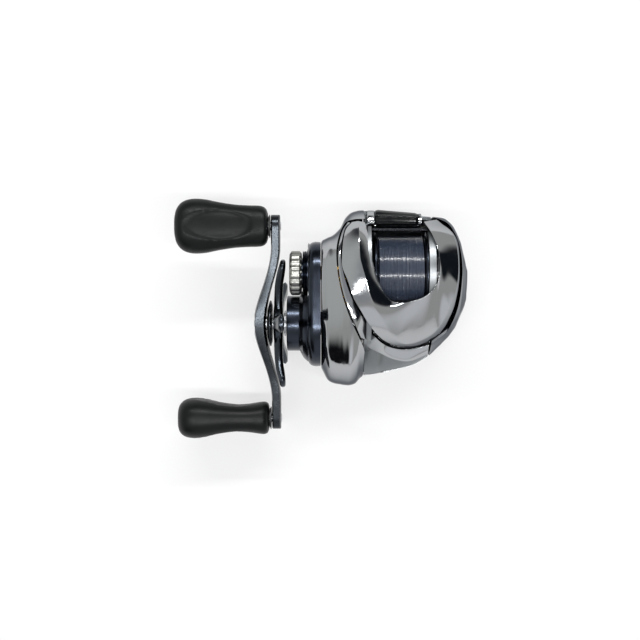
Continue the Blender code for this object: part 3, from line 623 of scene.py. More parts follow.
def install(piece: bpy.types.Object, finish: Finish, body: str, slot: str, *replaced: str) -> bpy.types.Object:
    """Dresses a piece, fixes it to its body and hides the CAD nodes that it stands for.

    Args:
        piece: the finished piece.
        finish: its finish.
        body: the CAD body it rides on.
        slot: the record's material slot; not used.
        replaced: the CAD nodes that it stands for.

    Returns:
        The piece.
    """
    finish.dress(piece)
    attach(piece, body)
    if replaced:
        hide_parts(*replaced)
    LOG.info("%s: %d faces on %s", piece.name, len(piece.data.polygons), body)
    return piece


# ------------------------------------------------------------------ body form

# Body stations along X: (x, front y, rear y, top z, bottom z, fullness of the upper front)
STATIONS = [
    (-33.1, -35.7, 19.6, 38.5, 0.4, 1.0), (-30.4, -40.4, 20.8, 40.6, -1.4, 1.0),
    (-27.9, -42.0, 22.0, 42.0, -2.3, 1.0), (-24.9, -42.6, 25.0, 43.6, -2.6, 1.0),
    (-23.1, -42.9, 28.8, 44.4, -2.6, 1.0), (-20.8, -43.0, 31.2, 45.2, -2.6, 1.0),
    (-18.1, -42.2, 32.2, 45.8, -2.6, 0.85), (-16.0, -39.9, 32.5, 46.0, -2.6, 0.7),
    (-14.6, -38.8, 32.4, 46.0, 1.2, 0.6), (-10.0, -38.2, 32.3, 46.0, 1.2, 0.35),
    (-5.4, -37.2, 32.0, 46.0, 1.2, 0.15), (0.0, -35.9, 31.4, 46.0, 1.2, 0.05),
    (7.0, -34.1, 30.6, 46.0, 1.2, 0.0), (14.0, -30.3, 29.8, 45.5, 1.0, 0.0),
    (19.2, -25.4, 29.0, 43.8, 0.8, 0.1), (22.6, -21.8, 26.0, 41.4, 1.8, 0.2),
    (25.2, -18.0, 20.7, 37.8, 4.2, 0.3), (26.9, -13.8, 13.8, 34.2, 7.6, 0.4),
    (28.0, -11.0, 8.4, 31.0, 10.6, 0.5), (28.6, -8.5, 3.8, 28.2, 13.6, 0.5),
]
# Side outline of the body, u forward (-1) to rear (+1) and v down (-1) to up (+1)
SLOPED_OUTLINE = [
    (1.0, 0.0), (0.955, 0.37), (0.77, 0.70), (0.43, 0.925), (0.02, 1.0), (-0.27, 0.91), (-0.52, 0.66),
    (-0.755, 0.29), (-0.88, -0.05), (-1.0, -0.50), (-0.95, -0.84), (-0.70, -0.97), (-0.13, -1.0),
    (0.50, -1.0), (0.84, -0.84), (0.975, -0.42),
]
FULL_OUTLINE = [
    (1.0, 0.0), (0.955, 0.40), (0.79, 0.73), (0.45, 0.935), (0.02, 1.0), (-0.26, 0.985), (-0.52, 0.89),
    (-0.78, 0.64), (-0.94, 0.20), (-1.0, -0.38), (-0.95, -0.82), (-0.70, -0.97), (-0.13, -1.0),
    (0.50, -1.0), (0.84, -0.84), (0.975, -0.42),
]
OUTLINE_MIDDLE = (5.5, 19.0)


def station_at(x: float) -> Vector:
    """Gives the body's station values at x, on a smooth curve through the stations.

    Args:
        x: the place along the body.

    Returns:
        Front y, rear y, top z, bottom z and fullness.
    """
    low = max(i for i, s in enumerate(STATIONS[:-1]) if s[0] <= x or i == 0)
    part = (x - STATIONS[low][0]) / (STATIONS[low + 1][0] - STATIONS[low][0])
    part = min(max(part, 0.0), 1.0)
    held = [Vector(STATIONS[min(max(low + k, 0), len(STATIONS) - 1)][1:]) for k in (-1, 0, 1, 2)]
    a, b, c, d = held
    return 0.5 * (2 * b + (c - a) * part + (2 * a - 5 * b + 4 * c - d) * part ** 2
                  + (3 * b - a - 3 * c + d) * part ** 3)


def body_ring(x: float, inset: float = 0.0, count: int = 128) -> list[Vector]:
    """Gives the body's side outline (y, z) at x.

    Args:
        x: the station.
        inset: how far inside the surface the outline lies.
        count: points round the outline.

    Returns:
        A counter-clockwise loop of (y, z).
    """
    front, rear, top, bottom, fullness = station_at(x)
    middle_y, middle_z = OUTLINE_MIDDLE
    points = []
    for sloped, full in zip(SLOPED_OUTLINE, FULL_OUTLINE):
        u = sloped[0] + (full[0] - sloped[0]) * fullness
        v = sloped[1] + (full[1] - sloped[1]) * fullness
        points.append((middle_y + u * ((rear - middle_y) if u > 0 else (middle_y - front)),
                       middle_z + v * ((top - middle_z) if v > 0 else (middle_z - bottom))))
    return offset_loop(spline(points, count, closed=True), inset)


def body_height(x: float, y: float) -> float:
    """Gives the height of the body's upper surface at a point.

    Args:
        x: the point's x.
        y: the point's y.

    Returns:
        The highest z of the body's outline there.
    """
    ring = body_ring(x)
    best = OUTLINE_MIDDLE[1]
    for a, b in zip(ring, ring[1:] + ring[:1]):
        if (a.x - y) * (b.x - y) <= 0 and abs(a.x - b.x) > 1e-9:
            best = max(best, a.y + (b.y - a.y) * (y - a.x) / (b.x - a.x))
    return best


def ring_row(x: float, inset: float = 0.0, count: int = 128) -> list[Vector]:
    """Gives the body's outline at x as points in space."""
    return [Vector((x, p.x, p.y)) for p in body_ring(x, inset, count)]


def inner_row(x: float, wall: float, count: int = 128) -> list[Vector]:
    """Gives an outline inside the body's at x, drawn in towards its middle so that it never folds.

    Args:
        x: the station.
        wall: how far inside the surface it lies.
        count: points round the outline.

    Returns:
        The outline's points in space.
    """
    loop = body_ring(x, 0.0, count)
    low = Vector((min(p.x for p in loop), min(p.y for p in loop)))
    high = Vector((max(p.x for p in loop), max(p.y for p in loop)))
    middle, half = (low + high) / 2, (high - low) / 2
    return [Vector((x, middle.x + (p.x - middle.x) * (1 - wall / half.x),
                    middle.y + (p.y - middle.y) * (1 - wall / half.y))) for p in loop]


def spaced(start: float, end: float, count: int) -> list[float]:
    """Gives evenly spaced values from start to end."""
    return [start + (end - start) * i / (count - 1) for i in range(count)]


# Outer seam of the hood as seen from above, from its gear-side rear end to its palm-side rear end
HOOD_SEAM = [
    (-18.8, 26.9), (-22.6, 25.9), (-24.9, 22.0), (-26.6, 14.4), (-26.0, 4.1), (-23.7, -6.2), (-20.2, -15.7),
    (-15.8, -24.6), (-12.0, -33.0), (0.0, -37.0), (14.0, -31.0), (19.5, -21.5), (23.4, -10.2), (24.6, 2.4),
    (24.7, 8.2), (24.2, 14.0), (22.6, 20.0), (19.5, 25.5), (14.5, 28.3), (11.2, 28.9), (8.0, 29.4),
]
HOOD_SEAM_INSIDE = [(4.0, 20.0), (-10.0, 20.0), (-13.9, 27.0)]
HOOD_EDGE_Z = 21.0
SEAM_GAP = 0.3


def hood_cutter() -> bpy.types.Object:
    """Makes the upright block that clears the hood out of the side shells."""
    outline = spline(HOOD_SEAM, 160) + [Vector(p) for p in HOOD_SEAM_INSIDE]
    return slab("hood_cutter", offset_loop(outline, -SEAM_GAP), (HOOD_EDGE_Z - SEAM_GAP, 60.0), Plane.PLAN, 0.0)


@dataclass
class SideShells:
    """The chrome gear housing and the palm side cover, each a closed shell."""

    wall: float = 1.6
    housing_x: Pair = (-33.1, -14.9)
    cover_x: Pair = (14.3, 28.5)
    edge: float = 0.9
    dial_axis: Pair = (-2.5, 20.9)
    dial_radius: float = 4.9
    dial_ribs: int = 24

    def housing_rows(self) -> list[list[Vector]]:
        """Gives the housing's outer skin from the open side to the gear face, then the inner skin back.

        Returns:
            The rows, of which the last meets the first.
        """
        low, high = self.housing_x
        outer = [ring_row(high, self.edge * 0.4)] + [ring_row(x) for x in spaced(high - 0.25, low + self.edge, 44)]
        for step in range(1, 6):
            angle = math.pi / 2 * step / 5
            outer.append(ring_row(low + self.edge * (1 - math.sin(angle)), self.edge * (1 - math.cos(angle))))
        inner = [inner_row(low, 2.6), inner_row(low + self.wall, 2.6)]
        return outer + inner + [inner_row(x, self.wall) for x in spaced(low + 2.6, high, 16)]

    def cover_rows(self) -> list[list[Vector]]:
        """Gives the cover's inner skin from the dome to the open side, then the outer skin back over it.

        Returns:
            The rows, from the dome's inner face to its outer face.
        """
        low, high = self.cover_x
        inner = [inner_row(x, self.wall) for x in spaced(26.6, low + 0.1, 30)]
        outer = [ring_row(low, 0.35)] + [ring_row(x) for x in spaced(low + 0.25, 25.0, 30)]
        outer += [ring_row(x) for x in spaced(25.2, high - 0.3, 26)]
        return inner + outer + [inner_row(high - 0.08, 0.25), inner_row(high, 0.8)]

    def build(self) -> None:
        """Builds both shells and the brake dial."""
        housing = skin("gear_housing_shell", self.housing_rows(), cap=False)
        carve(housing, hood_cutter())
        install(housing, CHROME, "reel_body", "chrome", "gear_housing")
        cover = skin("palm_cover_shell", self.cover_rows())
        carve(cover, hood_cutter(), x_rod((27.3, 31.0), self.dial_axis, self.dial_radius + SEAM_GAP))
        install(cover, CHROME, "palm_cover", "chrome", "palm_side_cover")
        self.build_dial()

    def build_dial(self) -> None:
        """Builds the brake dial with its ribbed rim and finger bar."""
        radius = self.dial_radius
        bm = bmesh.new()
        profile = fillet([(27.6, 0.0), (27.6, radius), (28.2, radius), (28.5, radius - 0.5), (28.5, radius - 1.1),
                          (28.15, radius - 1.4), (28.15, 0.0)], 0.12, 3, closed=False)
        lathe_into(bm, profile, self.dial_axis, self.dial_ribs * 6)
        for vert in bm.verts:
            y, z = vert.co.y / MM - self.dial_axis[0], vert.co.z / MM - self.dial_axis[1]
            reach = math.hypot(y, z)
            if reach > radius - 0.3:
                cut = 0.16 * (0.5 + 0.5 * math.cos(math.atan2(z, y) * self.dial_ribs)) / reach * MM
                vert.co.y -= y * cut
                vert.co.z -= z * cut
        y, z = self.dial_axis
        bar = fillet([(y - 3.2, z - 0.55), (y + 3.2, z - 0.55), (y + 3.2, z + 0.55), (y - 3.2, z + 0.55)], 0.3, 3)
        slab_into(bm, bar, (28.0, 28.5), rounding=0.12)
        install(finish_mesh("brake_dial_wheel", bm, 30.0), ACETAL, "brake_dial", "plastic", "brake_dial")


@dataclass
class FrameCasting:
    """Satin frame: lower shell, gear-side wall, palm ring, sloping apron under the mouth, and the foot.

    A foot section holds y, the foot's half width and its thickness there.
    """

    reach: Pair = (-14.5, 13.9)
    wall: float = 1.6
    front_z: float = 8.7
    rear_z: float = 20.6
    bulkhead_x: Pair = (-15.6, -15.0)
    gear_wall_x: Pair = (-14.6, -12.4)
    palm_ring_x: Pair = (11.0, 13.9)
    guard_bar_x: Pair = (-12.9, 11.6)
    guard_bar: tuple[Pair, ...] = ((21.9, 33.8), (24.1, 33.4), (24.1, 36.2), (22.4, 36.9))
    foot: tuple[Triple, ...] = (
        (-32.0, 4.5, 1.0), (-31.0, 5.6, 1.1), (-30.0, 6.2, 1.2), (-18.0, 8.0, 2.5), (18.0, 8.0, 2.5),
        (30.0, 6.2, 1.2), (31.0, 5.6, 1.1), (32.0, 4.5, 1.0))

    def lower_section(self, x: float, count: int = 72) -> list[Vector]:
        """Gives the closed section of the lower shell at x, from the front edge round the bottom.

        Args:
            x: the section's place.
            count: points on each skin.

        Returns:
            The outer skin's points, then the inner skin's back to the start.
        """
        loops = [body_ring(x), body_ring(x, self.wall)]
        paths = []
        for loop in loops:
            start = next(i for i, p in enumerate(loop) if p.x < -20 and p.y < self.front_z)
            path = list(loop[start:])
            path += [p for p in loop[:8] if p.y < self.rear_z and p.y >= loop[0].y]
            paths.append(spline(path, count))
        return [Vector((x, p.x, p.y)) for p in paths[0] + paths[1][::-1]]

    def wall_outline(self, x: float, inset: float, mouth_y: float) -> list[Pair]:
        """Gives a wall's outline, lowered towards the line mouth.

        Args:
            x: the station whose outline it follows.
            inset: how far inside the body it lies.
            mouth_y: where the slope down to the mouth begins.

        Returns:
            The outline (y, z).
        """
        outline = []
        for p in body_ring(x, inset, 96):
            limit = 45.0 if p.x > mouth_y else max(45.0 + (p.x - mouth_y) * 3.2, 7.0)
            outline.append((p.x, min(p.y, limit)))
        return outline

    def bulkhead_outline(self) -> list[Pair]:
        """Gives the outline of the thin wall that closes the housing's open side ahead of the worm gear.

        Returns:
            The outline (y, z), from the top round the front to the bottom.
        """
        x = sum(self.bulkhead_x) / 2
        front = [(p.x, p.y) for p in body_ring(x, 1.9, 96) if p.x < -24.2 or (p.x < -22.0 and p.y > 26.0)]
        return front + [(-24.2, 24.0), (-22.0, 26.0)]

    def apron_rows(self) -> list[list[Vector]]:
        """Gives the sloping front between the shell's edge and the lip band.

        Returns:
            Closed sections, one to a station along X.
        """
        edge = spline(FrontBand().lifted(FrontBand().lower), 400)
        rows = []
        for x in spaced(self.reach[0] + 0.2, self.reach[1] - 0.3, 60):
            upper = min((p for p in edge if p.y < -15), key=lambda p: abs(p.x - x))
            low_y = min(p.x for p in body_ring(x) if abs(p.y - self.front_z) < 1.2)
            top = Vector((x, upper.y + 0.5, min(upper.z - 0.3, 17.0)))
            low = Vector((x, low_y + 0.15, self.front_z - 0.4))
            bulge = Vector((0, -0.5, 0.6)) * (top - low).length * 0.1
            face = [low.lerp(top, t) + bulge * 4 * t * (1 - t) for t in spaced(0, 1, 14)]
            inward = Vector((0, 0.6, -1.0))
            rows.append(face + [top + inward, low.lerp(top, 0.5) + inward, low + Vector((0, 1.2, -0.3))])
        return rows

    def build(self) -> None:
        """Builds the frame and the dark guard bar across it."""
        low, high = self.reach
        bm = bmesh.new()
        grid_into(bm, [self.lower_section(x) for x in spaced(low, high, 40)])
        grid_into(bm, self.apron_rows())
        sections = []
        for y, half, top in self.foot:
            corners = fillet([(-half, 0.0), (half, 0.0), (half, top), (-half, top)], 0.4, 4)
            sections.append([Vector((p.x, y, p.y)) for p in corners])
        grid_into(bm, sections)
        shell = finish_mesh("frame_shell", bm, 30.0)
        install(shell, CASTING, "reel_body", "frame", "frame")
        wall = slab("frame_gear_wall", self.wall_outline(self.gear_wall_x[0], 1.9, -18.8), self.gear_wall_x,
                    rounding=0.25)
        carve(wall, x_rod((-16, -11), SPOOL_AXIS, 5.8), x_rod((-16, -11), MAIN_AXIS, 3.3),
              x_rod((-16, -11), WORM_AXIS, 1.5), x_rod((-16, -11), GUIDE_AXIS, 1.3),
              slab("slot", [(24.2, 22.4), (40.0, 22.4), (40.0, 50.0), (24.2, 50.0)], (-16, -11), rounding=0.0))
        install(wall, CASTING, "reel_body", "frame", "frame")
        bulkhead = slab("frame_bulkhead", self.bulkhead_outline(), self.bulkhead_x, rounding=0.0)
        install(bulkhead, CASTING, "reel_body", "frame", "frame")
        ring = slab("frame_palm_ring", self.wall_outline(self.palm_ring_x[1], 2.3, -14.0), self.palm_ring_x)
        carve(ring, x_rod((10, 15), SPOOL_AXIS, 18.0, 160), x_rod((10, 15), WORM_AXIS, 1.5),
              x_rod((10, 15), GUIDE_AXIS, 1.3))
        round_edges(ring, 0.35, 3, 40.0)
        install(ring, CASTING, "reel_body", "frame", "frame")
        bar = slab("rear_guard_bar", fillet(self.guard_bar, 0.7, 4), self.guard_bar_x, rounding=0.3)
        install(bar, DARK_TRIM, "reel_body", "frame", "frame")


@dataclass
class Hood:
    """The chrome hood: a band that runs round the spool window in a U, with a ridge along its crown.

    Each curve runs from the rear end of the gear-side arm, round the front, to the rear end of the
    palm-side arm, and holds (x, y, drop below the body's surface).
    """

    window: list[Triple] = field(default_factory=lambda: [
        (-14.0, 25.8, 2.2), (-13.5, 22.0, 2.6), (-13.3, 18.5, 2.7), (-12.7, 12.6, 2.8), (-11.7, 7.4, 2.9),
        (-9.6, 1.2, 2.9), (-7.2, -3.9, 2.6), (-4.0, -6.8, 2.0), (0.1, -7.4, 1.5), (4.4, -6.6, 1.2),
        (8.6, -5.0, 1.0), (12.2, -2.3, 0.9), (14.3, 1.4, 0.8), (15.0, 7.0, 0.8), (14.5, 13.8, 0.8),
        (12.9, 18.9, 0.8), (11.2, 22.8, 0.8), (9.4, 26.4, 0.8)])
    ridge: list[Triple] = field(default_factory=lambda: [
        (-17.9, 26.3, 0.2), (-17.8, 22.6, -0.5), (-17.7, 18.6, -0.6), (-17.5, 11.4, -0.7), (-16.5, 7.0, -0.7),
        (-14.9, 1.6, -0.7), (-13.0, -5.6, -0.6), (-10.2, -10.8, -0.4), (-6.6, -16.6, -0.2), (-2.0, -22.4, 0.0),
        (3.0, -24.6, 0.2), (9.9, -22.6, 0.2), (15.4, -18.6, 0.2), (20.0, -9.6, 0.2), (22.6, 0.6, 0.3),
        (23.0, 12.0, 0.3), (21.2, 21.2, 0.3), (15.2, 27.6, 0.4)])
    rim: list[Triple] = field(default_factory=lambda: [
        (-20.4, 26.0, 0.4), (-22.9, 23.0, 0.2), (-24.0, 18.6, 0.0), (-24.7, 12.0, 0.0), (-24.5, 7.0, 0.0),
        (-22.4, 1.6, 0.0), (-20.0, -5.6, 0.2), (-16.8, -11.2, 0.9), (-12.2, -18.0, 1.9), (-5.8, -23.6, 2.6),
        (3.2, -26.0, 3.0), (10.6, -24.4, 2.6), (17.2, -20.2, 2.2), (21.9, -11.2, 1.6), (24.0, 0.2, 1.2),
        (24.3, 12.4, 1.2), (22.4, 22.2, 1.2), (15.8, 28.8, 1.2)])
    across: int = 15
    along: int = 150
    rim_depth: float = 2.2
    skirt_depth: float = 2.4

    def lifted(self, curve: Sequence[Triple]) -> list[Vector]:
        """Gives a control curve's points in space."""
        return [Vector((x, y, body_height(x, y) - drop)) for x, y, drop in curve]

    def section(self, window: Vector, ridge: Vector, rim: Vector) -> list[Vector]:
        """Gives the closed section of the band between its three curves.

        Args:
            window: the point on the window's edge.
            ridge: the point on the crown's ridge.
            rim: the point on the outer rim.

        Returns:
            The section's points, over the top from the window and back below.
        """
        down = Vector((0, 0, -1))
        top = []
        for start, end, bulge in ((window, ridge, 0.55), (ridge, rim, 0.5)):
            width = (end - start).length
            for step in range(self.across):
                t = step / (self.across - 1)
                top.append(start.lerp(end, t) - down * bulge * width * 0.25 * 4 * t * (1 - t) * 0.32)
        outward = (rim - ridge).normalized()
        rim_low = rim + down * self.rim_depth - Vector((outward.x, outward.y, 0)) * 0.2
        skirt = window + down * self.skirt_depth + (ridge - window).normalized() * 0.35
        beneath = [rim_low, rim_low.lerp(skirt, 0.08) + down * 0.2, ridge + down * 2.4, skirt]
        return top + [rim + down * 0.5, rim + down * 1.3] + beneath + [window + down * 1.3, window + down * 0.4]

    def build(self) -> None:
        """Builds the hood's band."""
        curves = [spline(self.lifted(c), self.along) for c in (self.window, self.ridge, self.rim)]
        rows = [self.section(*points) for points in zip(*curves)]
        hood = skin("front_hood_band", rows, cap=True, sharp=24.0)
        round_edges(hood, 0.28, 3, 24.0)
        install(hood, CHROME, "reel_body", "chrome", "front_hood")


@dataclass
class FrontBand:
    """The chrome band under the line guide's mouth, with its tail along the gear housing's seam."""

    upper: list[Triple] = field(default_factory=lambda: [
        (-21.2, 25.6, -0.3), (-23.6, 22.6, -0.3), (-25.2, 13.6, -0.5), (-24.4, 6.0, -0.6), (-22.4, -1.2, -0.7),
        (-19.6, -8.0, -0.9), (-16.3, -13.6, -1.3),
        (-12.9, -18.6, 33.5), (-9.6, -22.2, 25.0), (-5.6, -25.2, 18.6), (-0.4, -26.9, 16.6), (6.0, -27.0, 16.2),
        (13.6, -25.2, 16.2)])
    lower: list[Triple] = field(default_factory=lambda: [
        (-22.1, 25.9, -0.1), (-24.5, 22.0, -0.1), (-26.2, 13.8, -0.1), (-25.8, 4.6, -0.1), (-24.1, -3.8, -0.1),
        (-21.5, -11.4, -0.1), (-18.8, -17.4, -0.2),
        (-16.0, -22.9, 35.0), (-12.6, -26.2, 24.5), (-7.6, -28.8, 15.6), (-1.2, -31.6, 13.2), (5.6, -32.4, 12.4),
        (13.6, -29.4, 12.4)])
    along: int = 110
    across: int = 12

    def lifted(self, curve: Sequence[Triple]) -> list[Vector]:
        """Gives a curve's points; a height of 0 or less is measured from the body's surface."""
        return [Vector((x, y, z if z > 0 else body_height(x, y) + z)) for x, y, z in curve]

    def build(self) -> None:
        """Builds the band as a closed bar."""
        rows = []
        for top, low in zip(spline(self.lifted(self.upper), self.along), spline(self.lifted(self.lower), self.along)):
            across = low - top
            bulge = Vector((-0.2, -0.3, 0.6)) * across.length * 0.1
            face = [top.lerp(low, t) + bulge * 4 * t * (1 - t) for t in spaced(0, 1, self.across)]
            inward = Vector((0.4, 0.6, -1.1))
            rows.append(face + [low + inward, top.lerp(low, 0.5) + inward, top + inward])
        band = skin("front_lip_band", rows, cap=True, sharp=28.0)
        round_edges(band, 0.22, 3, 30.0)
        install(band, CHROME, "reel_body", "chrome", "front_lip")


# ------------------------------------------------------------------ gear side

@dataclass
class GearSideCover:
    """Navy outer cover: a belt-shaped plate, the stepped main boss, the threaded spigot and its screws."""

    plate_radii: Pair = (18.5, 13.3)
    screw_places: tuple[Pair, ...] = ((16.5, 24.5), (-3.6, 34.4), (1.4, 11.4))
    thread_pitch: float = 0.9
    plate_steps: tuple[Pair, ...] = ((-33.3, 0.6), (-33.4, 0.1), (-35.6, 0.0), (-36.8, 0.25), (-37.6, 0.7),
                                     (-38.2, 1.3), (-38.6, 2.1), (-38.7, 3.2))
    boss: tuple[Pair, ...] = ((-35.5, 0.0), (-35.5, 15.9), (-38.5, 16.6), (-39.4, 16.0), (-40.8, 14.6),
                              (-42.2, 11.8), (-47.6, 11.8), (-47.7, 10.8), (-47.7, 5.4), (-44.0, 5.4), (-44.0, 0.0))
    screw: tuple[Pair, ...] = ((-38.4, 0.0), (-38.4, 0.55), (-38.75, 0.6), (-38.75, 1.45), (-38.45, 1.75),
                               (-38.1, 1.75), (-38.1, 0.0))

    def plate_into(self, bm: bmesh.types.BMesh) -> None:
        """Adds the belt-shaped plate with its rounded outer edge.

        Args:
            bm: the mesh to add to.
        """
        rows = []
        for x, shrink in self.plate_steps:
            main, spool = (radius - shrink for radius in self.plate_radii)
            rows.append([Vector((x, *p)) for p in belt_outline(MAIN_AXIS, main, SPOOL_AXIS, spool)])
        grid_into(bm, rows)

    def build(self) -> None:
        """Builds the cover and its screws."""
        bm = bmesh.new()
        self.plate_into(bm)
        lathe_into(bm, fillet(self.boss, 0.5, 4, closed=False), MAIN_AXIS, 120)
        thread = [(-36.0, 0.0), (-36.0, 10.1), (-38.9, 10.1), (-39.0, 9.5)]
        turns = int((40.9 - 39.0) / self.thread_pitch * 2)
        for turn in range(turns):
            x = -39.0 - self.thread_pitch / 2 * (turn + 1)
            thread.append((x, 9.05 if turn % 2 == 0 else 9.5))
        thread += [(-40.9, 9.0), (-40.9, 6.4), (-44.4, 6.4), (-44.4, 3.5), (-40.0, 3.5), (-40.0, 0.0)]
        lathe_into(bm, thread, SPOOL_AXIS, 96)
        cover = finish_mesh("gear_side_cover_plate", bm, 30.0)
        install(cover, NAVY, "reel_body", "navy", "gear_side_cover")
        for number, place in enumerate(self.screw_places, 1):
            self.build_screw(number, place)

    def build_screw(self, number: int, place: Pair) -> None:
        """Builds one round-headed screw with its turned socket.

        Args:
            number: the screw's number.
            place: its axis (y, z).
        """
        screw = lathe(f"cover_screw_head_{number}", fillet(self.screw, 0.12, 3, closed=False), place, 32)
        install(screw, STEEL, "reel_body", "steel", f"cover_screw_{number}")


@dataclass
class CastControl:
    """Clear-anodised cast-control cap with finger scallops and turned steps."""

    scallops: int = 18
    depth: float = 0.55
    radius: float = 9.4

    def build(self) -> None:
        """Builds the cap."""
        corners = [(-46.35, 0.0), (-46.35, 4.6), (-46.5, 5.0), (-46.5, 7.9), (-45.9, 9.0), (-45.5, self.radius),
                   (-42.3, self.radius), (-41.8, 9.0), (-41.3, 8.4), (-41.3, 6.9), (-44.6, 6.9), (-44.6, 0.0)]
        bm = bmesh.new()
        lathe_into(bm, fillet(corners, 0.25, 4, closed=False), SPOOL_AXIS, self.scallops * 12)
        for vert in bm.verts:
            y, z = vert.co.y / MM - SPOOL_AXIS[0], vert.co.z / MM - SPOOL_AXIS[1]
            reach = math.hypot(y, z)
            if reach < self.radius - 1.1:
                continue
            share = smooth_step((reach - (self.radius - 1.1)) / 0.8)
            cut = self.depth * share * abs(math.sin(math.atan2(z, y) * self.scallops / 2)) ** 3
            vert.co.y -= y / reach * cut * MM
            vert.co.z -= z / reach * cut * MM
        install(finish_mesh("cast_control_knob", bm, 28.0), CLEAR_ALUMINIUM, "cast_control", "silver",
                "cast_control_cap")


# ------------------------------------------------------------------ spool

@dataclass
class SpoolUnit:
    """Navy spool with shaped rims, and the wound line with its strands."""

    strand: float = 0.55
    seed: int = 7

    def build(self) -> None:
        """Builds the spool and the line on it."""
        low, high = span("spool", 0)
        radius = (span("spool", 2)[1] - span("spool", 2)[0]) / 2
        half = (high - low) / 2
        side = [(half, radius - 1.6), (half - 0.1, radius - 0.9), (half - 0.5, radius - 0.15), (half - 1.1, radius),
                (half - 1.7, radius - 0.5), (half - 2.0, radius - 1.4), (half - 2.1, 11.4)]
        recess = [(-half, radius - 2.2), (-half + 0.9, 15.0), (-half + 0.9, 10.0), (-1.5, 9.9), (-1.5, 3.4),
                  (-6.0, 3.4), (-6.0, 1.8)]
        profile = side + [(-x, r) for x, r in side[::-1]] + recess + [(-x, r) for x, r in recess[::-1]]
        spool = lathe("spool_body", fillet(profile, 0.25, 3), SPOOL_AXIS, 128, closed=True)
        install(spool, NAVY, "spool", "navy", "spool")
        self.build_line()

    def build_line(self) -> None:
        """Builds the wound line, one ridge to a strand, with the slight unevenness of real winding."""
        low, high = span("line_pack", 0)
        radius = (span("line_pack", 2)[1] - span("line_pack", 2)[0]) / 2
        chance = random.Random(self.seed)
        profile = [(low, 11.5)]
        strands = int((high - low) / self.strand)
        pitch = (high - low) / strands
        for strand in range(strands):
            crown = radius - 0.12 - chance.uniform(0, 0.16)
            for part, dip in ((0.0, 0.2), (0.25, 0.05), (0.5, 0.0), (0.75, 0.05)):
                profile.append((low + (strand + part) * pitch, crown - dip))
        profile += [(high, radius - 0.3), (high, 11.5)]
        bm = bmesh.new()
        lathe_into(bm, profile, SPOOL_AXIS, 144, closed=True)
        for vert in bm.verts:
            y, z = vert.co.y / MM - SPOOL_AXIS[0], vert.co.z / MM - SPOOL_AXIS[1]
            reach = math.hypot(y, z)
            if reach > 12:
                sway = 0.07 * math.sin(math.atan2(z, y) * 3 + vert.co.x / MM * 0.9)
                vert.co.x += sway * MM
        install(finish_mesh("wound_line", bm, 60.0), LINE, "spool", "line", "line_pack")


# ------------------------------------------------------------------ thumb bar

@dataclass
class ThumbBar:
    """Gloss thumb pad with two ribs, between two chrome cheeks, on its bracket."""

    section: tuple[Pair, ...] = (
        (0.0, 0.0), (0.93, 0.0), (1.0, 0.25), (0.95, 0.52), (0.80, 0.76), (0.66, 0.87), (0.60, 0.95), (0.52, 0.95),
        (0.47, 0.905), (0.22, 0.97), (0.06, 0.99), (0.0, 0.85))
    cheek_outline: tuple[Pair, ...] = ((24.8, 28.0), (30.6, 28.0), (31.3, 31.6), (31.0, 34.2), (28.4, 37.2),
                                       (25.9, 38.0), (24.8, 36.9))
    sweep: float = 0.085

    def rear(self, x: float) -> float:
        """Gives the rear edge of the pad at x, which follows the body's plan."""
        return 31.6 - self.sweep * (x - span("thumb_bar", 0)[0])

    def build(self) -> None:
        """Builds the pad and the bracket."""
        low, high = span("thumb_bar", 0)
        rows = []
        for t in spaced(0, 1, 60):
            x = low + (high - low) * t
            end = min(t, 1 - t) * (high - low)
            shrink = 1 - 0.10 * (1 - smooth_step(end / 1.2))
            crown = 7.1 - 0.5 * (2 * t - 1) ** 2
            rounded = fillet([(u, v) for u, v in self.section], 0.03, 3)
            rows.append([Vector((x, 24.9 + (self.rear(x) - 24.9) * (0.5 + (p.x - 0.5) * shrink),
                                 31.3 + crown * (0.5 + (p.y - 0.5) * shrink))) for p in rounded])
        pad = skin("thumb_pad", rows, sharp=50.0)
        install(pad, PAD_GLOSS, "thumb_bar", "pad", "thumb_bar")
        start, end = span("thumb_bar_bracket", 0)
        bm = bmesh.new()
        cheek = fillet(self.cheek_outline, 0.9, 5)
        slab_into(bm, cheek, (start, low - 0.3), rounding=0.7, segments=4)
        right = [(min(p.x, 29.6), p.y) for p in cheek]
        slab_into(bm, right, (high + 0.3, end), rounding=0.3)
        base = fillet([(24.8, 27.7), (29.6, 27.7), (30.0, 30.8), (24.8, 30.8)], 0.5, 4)
        slab_into(bm, base, (start + 0.4, end - 0.2), rounding=0.3)
        install(finish_mesh("thumb_bar_cheeks", bm, 30.0), CHROME, "thumb_bar", "chrome", "thumb_bar_bracket")


# ------------------------------------------------------------------ star and handle

